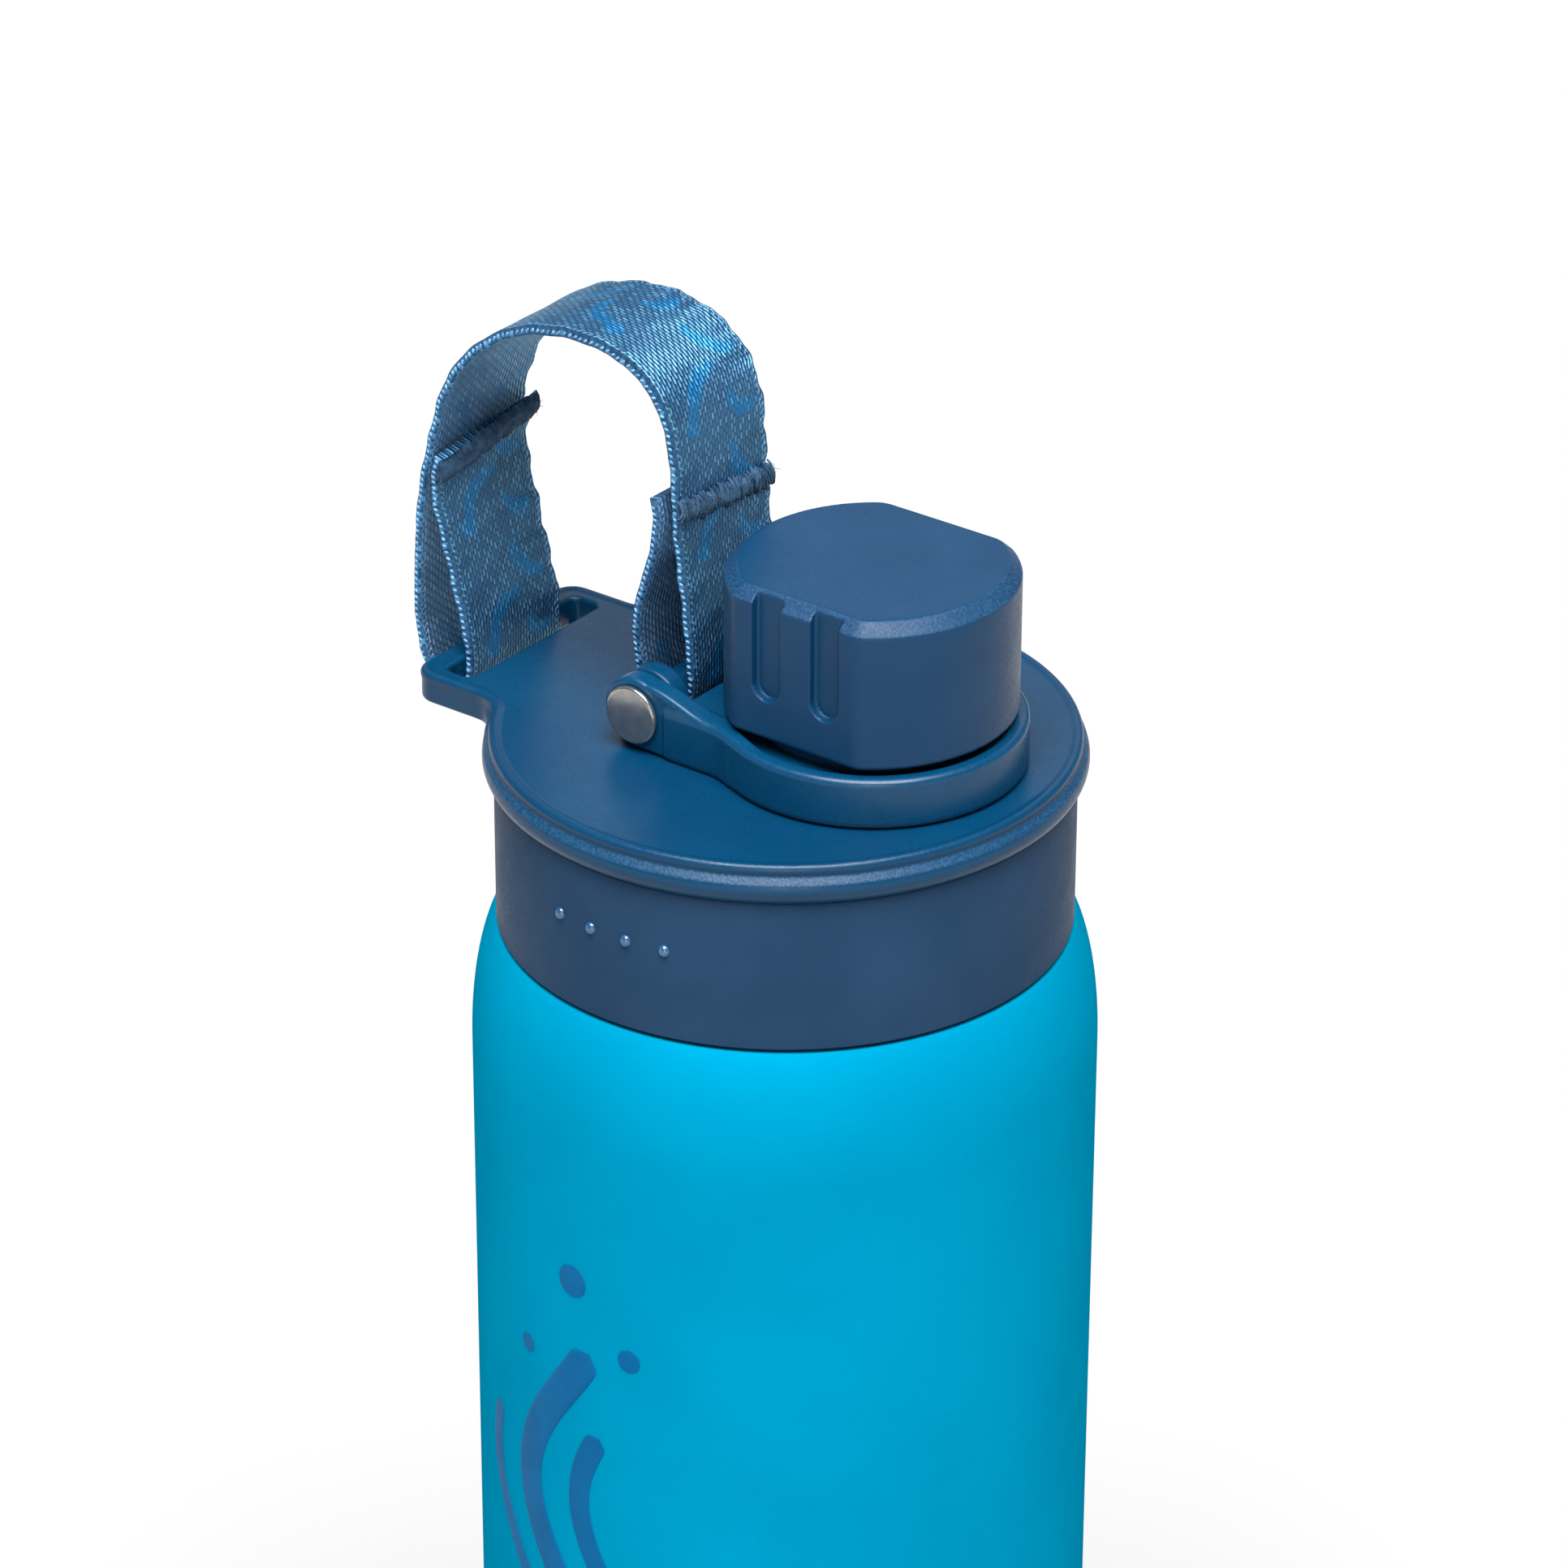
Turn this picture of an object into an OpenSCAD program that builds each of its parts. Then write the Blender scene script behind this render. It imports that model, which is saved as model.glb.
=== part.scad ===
// Sports drinking bottle: frosted body, screw lid, tethered spout cap and webbing carry strap.
// Millimetres, +Z up. The origin is the centre of the resting face under the bottle.
// +X points from the strap tab towards the drinking spout, and the hinge pin lies along Y.
// Heights of lid and cap pieces are measured up from the collar's lower edge.

/* [Bottle] */
// Outer diameter of the bottle body
body_d = 73; // [72:0.5:76]
// Height of the collar's lower edge above the resting face
collar_z = 185; // [150:1:230]
// Wall thickness of the body
wall = 1.6; // [1.2:0.1:2]
// Height of the shoulder curve below the collar
shoulder_h = 16; // [12:0.5:24]
// Outer diameter of the neck
neck_d = 59.4; // [59:0.1:59.6]

/* [Lid] */
// Outer diameter of the collar
collar_d = 66.9; // [66.6:0.1:68]
// Height of the collar
collar_h = 18.6; // [18.4:0.1:18.8]
// Outer diameter of the rim bead
rim_d = 69.5; // [69:0.1:70]
// Height of the lid's upper face
lid_top = 23.3; // [23.2:0.05:23.4]
// Thickness of the lid's disc
disc_t = 2; // [1.6:0.1:2.4]
// Rise of the lid in one turn
lead = 6; // [5.5:0.5:6.5]

/* [Strap tab] */
// Distance of the tab's outer edge from the bottle's axis
tab_reach = 43.4; // [43:0.1:45]
// Width of the tab
tab_w = 29; // [28:0.5:32]
// Thickness of the tab
tab_t = 3.7; // [3.2:0.1:4]
// Width of the strap slot across the tab
slot_w = 24; // [20:0.5:25]

/* [Hinge] */
// Distance of the hinge pin behind the bottle's axis
pin_back = 10.4; // [10:0.1:11]
// Height of the hinge pin
pin_up = 27.9; // [27.8:0.05:28.2]
// Diameter of the hinge pin
pin_d = 3; // [2.4:0.1:3.2]
// Outer diameter of the hinge eyes
eye_d = 8.6; // [8:0.1:8.6]
// Width across the two hinge eyes
hinge_w = 29.6; // [29:0.2:30]
// Diameter of the rivet heads
head_d = 7; // [5:0.1:7.6]

/* [Spout] */
// Distance of the spout in front of the bottle's axis
spout_x = 12.1; // [12:0.1:12.4]
// Outer diameter of the spout
spout_d = 16.8; // [15:0.1:17]
// Diameter of the drinking bore
bore_d = 13.6; // [11:0.1:14]

/* [Cap] */
// Height of the cap's top face
cap_top = 48.2; // [47:0.1:50]
// Width across the cap's two flats
cap_flats = 29.2; // [28.8:0.1:30]
// Radius of the cap's two curved sides
cap_side_r = 17.2; // [17:0.1:17.5]
// Outer diameter of the tether ring
ring_d = 35.8; // [35.6:0.1:36]

/* [Strap] */
// Width of the webbing
strap_w = 16.8; // [14:0.2:17.4]
// Thickness of the webbing
strap_t = 1.2; // [0.8:0.1:1.3]

/* [Hidden] */
$fn = 96;
eps = 0.5;

// Fits
pin_play = 0.05;
seal_gap = 0.05;
flat_gap = 0.1;

// Bottle
body_r = body_d / 2;
neck_r = neck_d / 2;
neck_in_r = neck_r - 2.3;
neck_top = 17 - seal_gap;
ledge_z = -0.4;
foot_r = 6;
floor_extra = 1.2;
neck_thread_z = 6;
neck_crest = 1.2;

// Lid
collar_r = collar_d / 2;
collar_in_r = 31.5;
rim_r = rim_d / 2;
tongue_in_r = 31.8;
tongue_out_r = 32.8;
tongue_h = 1.8;
gasket_z = 17;
collar_thread_z = 8.5;
plug_out_r = 26.9;
plug_in_r = 25.4;
plug_z = 15.2;
tab_z = lid_top - tab_t;
slot_out = tab_reach - 2.5;
slot_in = slot_out - 4.5;

// Hinge
pin_r = pin_d / 2;
eye_r = eye_d / 2;
eye_t = 2.7;
lug_out = hinge_w / 2 - eye_t - 0.2;
lug_in = lug_out - 2.5;
bar_r = 2.3;
head_t = 0.7;
stud_r = 0.9;
stud_l = 6;

// Spout and cap
spout_r = spout_d / 2;
spout_top = 38.2;
spout_pitch = 3;
spout_crest = 0.7;
spout_thread_z = 30.5;
cap_thread_z = 29.5;
thread_root = 0.6;
ring_r = ring_d / 2;
ring_in_r = ring_r - 2;
ring_z = lid_top + 0.3;
ring_top = 29.5;
ledge_in_r = 12.9;
ledge_low = 26.6;
ledge_high = 28.2;
cap_z = 30.6;
spigot_r = 14.2;
core_r = 12.6;
core_neck_r = 12.5;
core_flange_r = 14.6;
core_in_r = 11.2;
core_z = lid_top + 1;
core_top = 41.2;
cap_side_shift = 0.6;
chamfer_in = 1.5;
chamfer_down = 1.3;

function arc(c, r, a0, a1, n) =
    [for (i = [0:n]) let (a = a0 + (a1 - a0) * i / n) [c.x + r * cos(a), c.y + r * sin(a)]];
function oval(c, rx, ry, a0, a1, n) =
    [for (i = [0:n]) let (a = a0 + (a1 - a0) * i / n) [c.x + rx * cos(a), c.y + ry * sin(a)]];
function raised(pts, dz) = [for (p = pts) [p.x, p.y + dz]];
function flipped(pts) = [for (i = [len(pts) - 1:-1:0]) [pts[i].x, -pts[i].y]];
function smooth(t) = t * t * (3 - 2 * t);

// A smooth curve through hand-placed points.
function curve_at(a, b, c, d, t) =
    0.5 * (2 * b + (c - a) * t + (2 * a - 5 * b + 4 * c - d) * t * t
    + (3 * b - a - 3 * c + d) * t * t * t);
function curve(pts, n) = let (last = len(pts) - 1) concat(
    [for (i = [0:last - 1], k = [0:n - 1])
        curve_at(pts[max(i - 1, 0)], pts[i], pts[i + 1], pts[min(i + 2, last)], k / n)],
    [pts[last]]);
function side(pts, i) = let (d = pts[min(i + 1, len(pts) - 1)] - pts[max(i - 1, 0)])
    [-d.y, d.x] / norm(d);
function band(pts, t) = concat(
    [for (i = [0:len(pts) - 1]) pts[i] + side(pts, i) * t / 2],
    [for (i = [len(pts) - 1:-1:0]) pts[i] - side(pts, i) * t / 2]);

module lift() {
    translate([0, 0, collar_z])
        children();
}

module at_spout() {
    translate([spout_x, 0, 0])
        children();
}

// A bar along Y, from y0 to y1, with its section drawn in X and Z.
module along_y(y0, y1) {
    translate([0, y1, 0])
        rotate([90, 0, 0])
            linear_extrude(y1 - y0)
                children();
}

module pin_axis(r, y0, y1) {
    translate([-pin_back, y1, pin_up])
        rotate([90, 0, 0])
            cylinder(r = r, h = y1 - y0);
}

// One helical thread ridge. Its root lies inside the wall, and both ends run out.
module ridge(root, crest, z0, start, sweep, pitch, w_root, w_crest) {
    n = ceil(sweep / 7.5);
    dir = crest > root ? 1 : -1;
    section = [for (i = [0:n]) let (
            t = i / n,
            a = start + sweep * t,
            z = z0 + pitch * sweep * t / 360,
            k = max(0.3, min(1, t * 8, (1 - t) * 8)),
            r = root + (crest - root) * k)
        each [[root, z - dir * w_root / 2, a], [r, z - dir * w_crest / 2, a],
            [r, z + dir * w_crest / 2, a], [root, z + dir * w_root / 2, a]]];
    points = [for (s = section) [s.x * cos(s.z), s.x * sin(s.z), s.y]];
    sides = [for (i = [0:n - 1], j = [0:3]) let (a = 4 * i + j, b = 4 * i + (j + 1) % 4)
        each [[a, b, b + 4], [a, b + 4, a + 4]]];
    ends = [[0, 3, 2], [0, 2, 1], [4 * n, 4 * n + 1, 4 * n + 2], [4 * n, 4 * n + 2, 4 * n + 3]];
    polyhedron(points, concat(sides, ends));
}

module bottle_body() {
    low = [[0, 0], [24, 0], [24.6, 0.8], [26.4, 0.8], [27, 0]];
    foot = arc([body_r - foot_r, foot_r], foot_r, -90, 0, 8);
    shoulder = oval([body_r - 5.1, collar_z - shoulder_h], 5.1, shoulder_h + 1.5,
        0, asin((shoulder_h + ledge_z) / (shoulder_h + 1.5)), 12);
    neck = raised([[neck_r + 0.5, ledge_z], [neck_r, ledge_z + 0.5], [neck_r, neck_top - 0.6],
        [neck_r - 0.6, neck_top], [neck_in_r + 0.5, neck_top], [neck_in_r, neck_top - 0.5],
        [neck_in_r, -1.6], [neck_in_r + 0.5, -2.1]], collar_z);
    inner_shoulder = oval([body_r - 5.1, collar_z - shoulder_h], 5.1 - wall, shoulder_h - 2.1,
        90, 0, 10);
    inner_foot = arc([body_r - foot_r, foot_r + floor_extra], foot_r - wall, 0, -90, 6);
    color([0.02, 0.62, 0.82, 0.8])
        union() {
            rotate_extrude()
                polygon(concat(low, foot, shoulder, neck, inner_shoulder, inner_foot,
                    [[0, wall + floor_extra]]));
            lift()
                for (s = [0, 180])
                    ridge(neck_r - 0.4, neck_r + neck_crest, neck_thread_z, s, 300, lead, 2.2, 0.8);
        }
}

module lid_profile() {
    bead = arc([rim_r - 2, 20.6], 2, -70, 25, 8);
    waist = [[rim_r - 0.45, 22.3], [rim_r - 0.65, 22.8]];
    crest = arc([rim_r - 1.25, lid_top + 0.05], 0.5, 0, 110, 5);
    polygon(concat([[0, lid_top - disc_t], [plug_in_r, lid_top - disc_t], [plug_in_r, plug_z],
        [plug_out_r, plug_z], [plug_out_r, collar_h], [tongue_in_r, collar_h],
        [tongue_in_r, collar_h + tongue_h], [tongue_out_r, collar_h + tongue_h],
        [tongue_out_r, collar_h]], bead, waist, crest, [[rim_r - 3.6, lid_top], [0, lid_top]]));
}

module tab_plan() {
    root_r = rim_r - 0.9;
    blend = 6;
    corner = 2.6;
    half = tab_w / 2;
    cy = half + blend;
    cx = sqrt(pow(root_r + blend, 2) - pow(cy, 2));
    lower = concat([[-20, -root_r * cy / (root_r + blend)]],
        arc([-cx, -cy], blend, atan2(cy, cx), 90, 8),
        arc([-tab_reach + corner, -half + corner], corner, 270, 180, 6));
    polygon(concat(lower, flipped(lower)));
}

module slot_plan() {
    r = 1.2;
    for (s = [-1, 1])
        for (x = [-slot_out + r, -slot_in - r])
            translate([x, s * (slot_w / 2 - r)])
                circle(r);
    translate([-slot_out, -slot_w / 2 + r])
        square([slot_out - slot_in, slot_w - 2 * r]);
    translate([-slot_out + r, -slot_w / 2])
        square([slot_out - slot_in - 2 * r, slot_w]);
}

module lug_section() {
    translate([-pin_back, pin_up])
        circle(eye_r);
    translate([-pin_back - eye_r, lid_top - eps])
        square([eye_d, pin_up - lid_top + eps]);
}

module lid_cover() {
    color([0.07, 0.35, 0.53])
        lift()
            difference() {
                union() {
                    rotate_extrude()
                        lid_profile();
                    translate([0, 0, tab_z])
                        linear_extrude(tab_t)
                            tab_plan();
                    at_spout()
                        translate([0, 0, lid_top - eps])
                            cylinder(r = spout_r, h = spout_top - lid_top + eps);
                    at_spout()
                        ridge(spout_r - thread_root, spout_r + spout_crest, spout_thread_z, 51.7, 360,
                            spout_pitch, 1.9, 0.6);
                    along_y(-lug_out, -lug_in)
                        lug_section();
                    along_y(lug_in, lug_out)
                        lug_section();
                    pin_axis(bar_r, -lug_out, lug_out);
                }
                at_spout()
                    translate([0, 0, lid_top - disc_t - eps])
                        cylinder(d = bore_d, h = spout_top);
                pin_axis(pin_r, -lug_out - eps, lug_out + eps);
                translate([0, 0, tab_z - eps])
                    linear_extrude(tab_t + 2 * eps)
                        slot_plan();
            }
}

module lid_collar() {
    dot_step = 8.4;
    color([0.2, 0.31, 0.44])
        lift()
            union() {
                rotate_extrude()
                    polygon([[collar_in_r, 0], [collar_r - 0.4, 0], [collar_r, 0.4],
                        [collar_r, collar_h], [tongue_out_r, collar_h],
                        [tongue_out_r, collar_h + tongue_h], [tongue_in_r, collar_h + tongue_h],
                        [tongue_in_r, collar_h], [collar_in_r, collar_h]]);
                for (s = [0, 180])
                    ridge(collar_in_r + 0.4, collar_in_r - neck_crest, collar_thread_z, s + 60, 240,
                        lead, 2.2, 0.8);
                for (i = [-1.5:1.5])
                    rotate([0, 0, -89.3 + i * dot_step])
                        translate([collar_r - 0.25, 0, 11.1])
                            sphere(0.65);
            }
}

module lid_gasket() {
    color([0.85, 0.88, 0.9])
        lift()
            rotate_extrude()
                polygon([[plug_out_r + 0.1, gasket_z], [30.6, gasket_z], [30.6, collar_h],
                    [plug_out_r + 0.1, collar_h]]);
}

// The two arms seen from above, with a concave blend where each one meets the ring.
module arms_plan() {
    half = hinge_w / 2;
    blend = 8;
    cy = half + blend;
    cx = sqrt(pow(ring_r + blend, 2) - pow(cy, 2));
    reach = ring_r / (ring_r + blend);
    for (s = [0, 1])
        mirror([0, s]) {
            translate([-pin_back - eye_r, -half])
                square([pin_back + eye_r + spout_x, eye_t]);
            difference() {
                polygon([[spout_x - cx, -half], [spout_x - cx * reach, -cy * reach],
                    [spout_x, -half], [spout_x, -half + 1], [spout_x - cx, -half + 1]]);
                translate([spout_x - cx, -cy])
                    circle(blend);
            }
        }
}

// The arms seen from the side: round eyes, then a top edge that eases down to the ring.
module arms_section() {
    slope_start = -pin_back + 1.6;
    slope_end = 1.5;
    eye_top = pin_up + sqrt(pow(eye_r, 2) - 1.6 * 1.6);
    slope = [for (i = [10:-1:0]) [slope_start + (slope_end - slope_start) * i / 10,
        eye_top + (ring_top - eye_top) * smooth(i / 10)]];
    translate([-pin_back, pin_up])
        circle(eye_r);
    polygon(concat([[-pin_back, pin_up], [-pin_back, ring_z], [spout_x, ring_z],
        [spout_x, ring_top]], slope));
}

// The ring, and the web that joins the arms in front of the hinge.
module ring_plan() {
    web_x = -pin_back + eye_r + 0.4;
    translate([spout_x, 0])
        circle(ring_r);
    translate([web_x, -hinge_w / 2])
        square([spout_x - web_x, hinge_w]);
}

module tether_yoke() {
    color([0.05, 0.28, 0.43])
        lift()
            difference() {
                union() {
                    intersection() {
                        translate([0, 0, ring_z - 1])
                            linear_extrude(12)
                                arms_plan();
                        along_y(-hinge_w, hinge_w)
                            arms_section();
                    }
                    translate([0, 0, ring_z])
                        linear_extrude(ring_top - ring_z)
                            ring_plan();
                }
                at_spout()
                    difference() {
                        translate([0, 0, ring_z - eps])
                            cylinder(r = ring_in_r, h = 12);
                        rotate_extrude()
                            polygon([[ledge_in_r, ledge_low], [ring_in_r + 1, ledge_low],
                                [ring_in_r + 1, ledge_high], [ledge_in_r, ledge_high]]);
                    }
                pin_axis(pin_r + pin_play, -hinge_w, hinge_w);
            }
}

module rivet_head(y) {
    translate([-pin_back, y, pin_up])
        rotate([90, 0, 0])
            rotate_extrude()
                polygon([[0, 0], [head_d / 2, 0], [head_d / 2, head_t - 0.3],
                    [head_d / 2 - 0.3, head_t], [0, head_t]]);
}

module hinge_pin() {
    tip = hinge_w / 2 + flat_gap;
    color("silver")
        lift()
            difference() {
                union() {
                    pin_axis(pin_r, -tip - 0.2, tip);
                    rivet_head(-tip);
                }
                pin_axis(stud_r, tip - stud_l, tip + eps);
            }
}

module hinge_pin_cap() {
    tip = hinge_w / 2 + flat_gap;
    color("silver")
        lift()
            union() {
                pin_axis(stud_r, tip - stud_l, tip + 0.2);
                mirror([0, 1, 0])
                    rivet_head(-tip);
            }
}

module cap_side(shift) {
    translate([shift, 0, 0])
        rotate_extrude()
            polygon([[0, cap_z], [cap_side_r, cap_z], [cap_side_r, cap_top - chamfer_down],
                [cap_side_r - chamfer_in, cap_top], [0, cap_top]]);
}

// The cap's outside: two curved sides and two flats, with a chamfer round the top.
module cap_solid() {
    low = cap_top - chamfer_down;
    half = cap_flats / 2;
    intersection() {
        cap_side(cap_side_shift);
        cap_side(-cap_side_shift);
        rotate([90, 0, 90])
            translate([0, 0, -cap_side_r])
                linear_extrude(2 * cap_side_r)
                    polygon([[-half, cap_z], [half, cap_z], [half, low],
                        [half - chamfer_in, cap_top], [-half + chamfer_in, cap_top],
                        [-half, low]]);
    }
}

module grip_groove(x) {
    depth = 1;
    groove_r = 1.9;
    low = cap_z + 4.4 + groove_r;
    translate([0, -cap_flats / 2 + depth, 0])
        along_y(-3, 0) {
            translate([x, low])
                circle(groove_r);
            translate([x - groove_r, low])
                square([2 * groove_r, cap_top]);
        }
}

module cap_shell() {
    color([0.17, 0.29, 0.42])
        lift()
            at_spout()
                difference() {
                    union() {
                        cap_solid();
                        translate([0, 0, ledge_high + 0.3])
                            cylinder(r = spigot_r, h = 4);
                    }
                    for (s = [0, 1], x = [-4, 4])
                        mirror([0, s, 0])
                            grip_groove(x);
                    translate([0, 0, ledge_high])
                        cylinder(r = core_r, h = cap_top - 2 - ledge_high);
                }
}

module cap_core() {
    roof = spout_top + seal_gap + 1.6;
    color([0.24, 0.36, 0.48])
        lift()
            at_spout()
                union() {
                    rotate_extrude()
                        polygon([[core_in_r, core_z], [core_flange_r, core_z],
                            [core_flange_r, ledge_low - 0.3], [core_neck_r, ledge_low - 0.3],
                            [core_neck_r, ledge_high + 0.3], [core_r, ledge_high + 0.3],
                            [core_r, core_top], [0, core_top], [0, roof], [core_in_r, roof]]);
                    ridge(core_in_r + 0.3, core_in_r - spout_crest, cap_thread_z, 250, 400,
                        spout_pitch, 1.6, 0.6);
                }
}

module cap_gasket() {
    color([0.85, 0.88, 0.9])
        lift()
            at_spout()
                translate([0, 0, spout_top + seal_gap])
                    cylinder(r = core_in_r - 0.8, h = 1.6);
}

// The webbing's middle line in X and Z, from its sewn end beside the tab, down through the
// slot, round the tab's outer bar, over the arch, round the hinge bar and up to its other end.
strap_line = [[-43.9, 48.6], [-44.9, 44], [-43.6, 38], [-41.8, 31.5], [-40.6, 27], [-40.1, 22.5],
    [-40.4, 19.4], [-42.6, 17.8], [-45.4, 18.9], [-47.2, 22.6], [-47.8, 29], [-47.5, 36],
    [-46.8, 42], [-45.9, 47], [-44.6, 51.5], [-43, 56], [-40.6, 60], [-37.4, 63.2],
    [-33, 65.9], [-28, 67.6], [-23, 68.1], [-18, 67.1], [-14.4, 65.1], [-11.9, 61.8],
    [-10.5, 57], [-9.6, 51], [-9, 45], [-8.2, 39], [-7.5, 33], [-7.4, 28.5], [-8.3, 25.6],
    [-10.6, 24.9], [-13, 25.8], [-14.3, 28.5], [-14.6, 33.5], [-13.7, 39], [-12, 44.5],
    [-11, 49], [-11.6, 52.3]];

module carry_strap() {
    color([0.2, 0.36, 0.52])
        lift()
            along_y(-strap_w / 2, strap_w / 2)
                polygon(band(curve(strap_line, 3), strap_t));
}

module bartack(x, z, lean) {
    lift()
        translate([x, 0, z])
            rotate([0, lean, 0])
                along_y(-strap_w / 2 + 0.4, strap_w / 2 - 0.4)
                    polygon([[0, -1.3], [0.7, -1], [0.7, 1], [0, 1.3]]);
}

module bartack_tab_end() {
    color([0.16, 0.3, 0.45])
        bartack(-43.45, 47.4, 12);
}

module bartack_hinge_end() {
    color([0.16, 0.3, 0.45])
        bartack(-8.8, 50.2, -6);
}

bottle_body();
lid_cover();
lid_collar();
lid_gasket();
tether_yoke();
hinge_pin();
hinge_pin_cap();
cap_shell();
cap_core();
cap_gasket();
carry_strap();
bartack_tab_end();
bartack_hinge_end();
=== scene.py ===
"""Looks of the sports drinking bottle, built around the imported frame."""

import math

import bpy
import numpy as np
from mathutils import Matrix, Vector


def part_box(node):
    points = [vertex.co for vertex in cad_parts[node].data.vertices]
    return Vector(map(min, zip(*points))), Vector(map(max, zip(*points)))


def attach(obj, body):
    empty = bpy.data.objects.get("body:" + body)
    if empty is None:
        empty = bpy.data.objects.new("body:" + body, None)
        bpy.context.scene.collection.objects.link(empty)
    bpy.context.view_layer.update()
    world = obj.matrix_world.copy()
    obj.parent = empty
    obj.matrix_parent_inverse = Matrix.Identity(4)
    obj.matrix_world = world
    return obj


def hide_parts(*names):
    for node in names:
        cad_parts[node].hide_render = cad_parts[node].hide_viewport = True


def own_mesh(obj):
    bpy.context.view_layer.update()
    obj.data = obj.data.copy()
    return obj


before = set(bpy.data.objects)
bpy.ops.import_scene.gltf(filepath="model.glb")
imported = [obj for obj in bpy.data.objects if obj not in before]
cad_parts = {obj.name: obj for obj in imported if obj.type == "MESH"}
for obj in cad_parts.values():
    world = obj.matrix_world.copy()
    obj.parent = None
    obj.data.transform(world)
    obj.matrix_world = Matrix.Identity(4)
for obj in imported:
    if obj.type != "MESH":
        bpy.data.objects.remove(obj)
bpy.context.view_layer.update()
MM = 0.001


def box_mm(node):
    lo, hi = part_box(node)
    return np.array(lo) / MM, np.array(hi) / MM


# Places shared by several pieces, in millimetres. Heights of lid pieces count from the collar.
COLLAR_Z = box_mm("lid_collar")[0][2]
BODY_R = box_mm("bottle_body")[1][0]
COLLAR_R = box_mm("lid_collar")[1][0]
REACH = -box_mm("lid_cover")[0][0]
SPOUT_X = sum(b[0] for b in box_mm("cap_core")) / 2
PIN_X = sum(b[0] for b in box_mm("hinge_pin")) / 2
PIN_Z = sum(b[2] for b in box_mm("hinge_pin")) / 2 - COLLAR_Z
HINGE_W = 29.6
EYE_R = 4.3
LID_TOP = 23.3
SPOUT_TOP = 38.2
THREAD_LEAD = 6
CAP_TOP = box_mm("cap_shell")[1][2] - COLLAR_Z


# ---------------------------------------------------------------- camera and stage


def make_camera():
    """The camera that the proportions were fitted with."""
    azimuth, elevation = math.radians(37), math.radians(27.683)
    roll, drift = math.radians(0.202), math.radians(0.0153)
    aim_z, distance = COLLAR_Z + 16.03, 0.77097
    back = Vector((0, -math.cos(elevation), math.sin(elevation)))
    right = Vector((1, 0, 0))
    up = back.cross(right)
    turn = Matrix.Rotation(roll, 3, back)
    yaw = Matrix.Rotation(drift, 3, up)
    spin = Matrix.Rotation(azimuth, 3, "Z")
    axes = [spin @ turn @ (yaw @ v) for v in (right, up, back)]
    data = bpy.data.cameras.new("camera")
    data.sensor_width = 36
    data.lens = 154.42
    data.clip_start, data.clip_end = 0.05, 60
    camera = bpy.data.objects.new("camera", data)
    bpy.context.scene.collection.objects.link(camera)
    place = Matrix(axes).transposed().to_4x4()
    place.translation = Vector((0, 0, aim_z)) * MM + spin @ back * distance
    camera.matrix_world = place
    bpy.context.scene.camera = camera


make_camera()


# ---------------------------------------------------------------- mesh tools


def add_mesh(name, verts, faces, material=None, normals=None, flat_angle=None, lift=True):
    """A mesh object from vertices in millimetres, whose heights count from the collar if lifted."""
    verts = np.asarray(verts, float).copy()
    if lift:
        verts[:, 2] += COLLAR_Z
    mesh = bpy.data.meshes.new(name)
    mesh.from_pydata((verts * MM).tolist(), [], [list(map(int, f)) for f in faces])
    mesh.validate()
    mesh.update()
    mesh.shade_smooth()
    if flat_angle is not None:
        mesh.set_sharp_from_angle(angle=math.radians(flat_angle))
    if normals is not None:
        mesh.normals_split_custom_set_from_vertices(np.asarray(normals, float).tolist())
    obj = bpy.data.objects.new(name, mesh)
    bpy.context.scene.collection.objects.link(obj)
    if material is not None:
        mesh.materials.append(material)
    return obj


def arc(cx, cy, r, a0, a1, n):
    """Points of a round stretch from a0 to a1 degrees."""
    a = np.radians(np.linspace(a0, a1, n + 1))
    return list(zip(cx + r * np.cos(a), cy + r * np.sin(a)))


def rounded(corners, n=5):
    """A closed outline through corners (u, v, radius), each corner rounded by its radius."""
    nearly_straight = math.radians(88.5)
    out = []
    for i, (u, v, r) in enumerate(corners):
        p = np.array([u, v], float)
        a = np.array(corners[i - 1][:2], float) - p
        b = np.array(corners[(i + 1) % len(corners)][:2], float) - p
        if r <= 0:
            out.append(tuple(p))
            continue
        a /= np.linalg.norm(a)
        b /= np.linalg.norm(b)
        half = math.acos(max(-1, min(1, float(a @ b)))) / 2
        if half > nearly_straight:
            out.append(tuple(p))
            continue
        start, end = p + a * r / math.tan(half), p + b * r / math.tan(half)
        centre = p + (a + b) / np.linalg.norm(a + b) * r / math.sin(half)
        t0 = math.atan2(*(start - centre)[::-1])
        t1 = math.atan2(*(end - centre)[::-1])
        step = (t1 - t0 + math.pi) % (2 * math.pi) - math.pi
        for k in range(n + 1):
            t = t0 + step * k / n
            out.append(tuple(centre + r * np.array([math.cos(t), math.sin(t)])))
    return out


def revolve(profile, n, closed=True):
    """Vertices and faces of a profile of (r, z) turned round the Z axis."""
    profile = np.array(profile, float)
    m = len(profile)
    a = np.linspace(0, 2 * math.pi, n, endpoint=False)
    r, z = profile[:, 0], profile[:, 1]
    v = np.stack([np.outer(np.cos(a), r), np.outer(np.sin(a), r), np.broadcast_to(z, (n, m))],
                 -1).reshape(-1, 3)
    on_axis = r < 1e-6
    faces = []
    for i in range(n):
        j = (i + 1) % n
        for k in range(m if closed else m - 1):
            up = (k + 1) % m
            if on_axis[k] and on_axis[up]:
                continue
            quad = [i * m + k, j * m + k, j * m + up, i * m + up]
            if on_axis[k]:
                quad = [k, j * m + up, i * m + up]
            elif on_axis[up]:
                quad = [i * m + k, j * m + k, up]
            faces.append(quad)
    return v, faces


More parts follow.
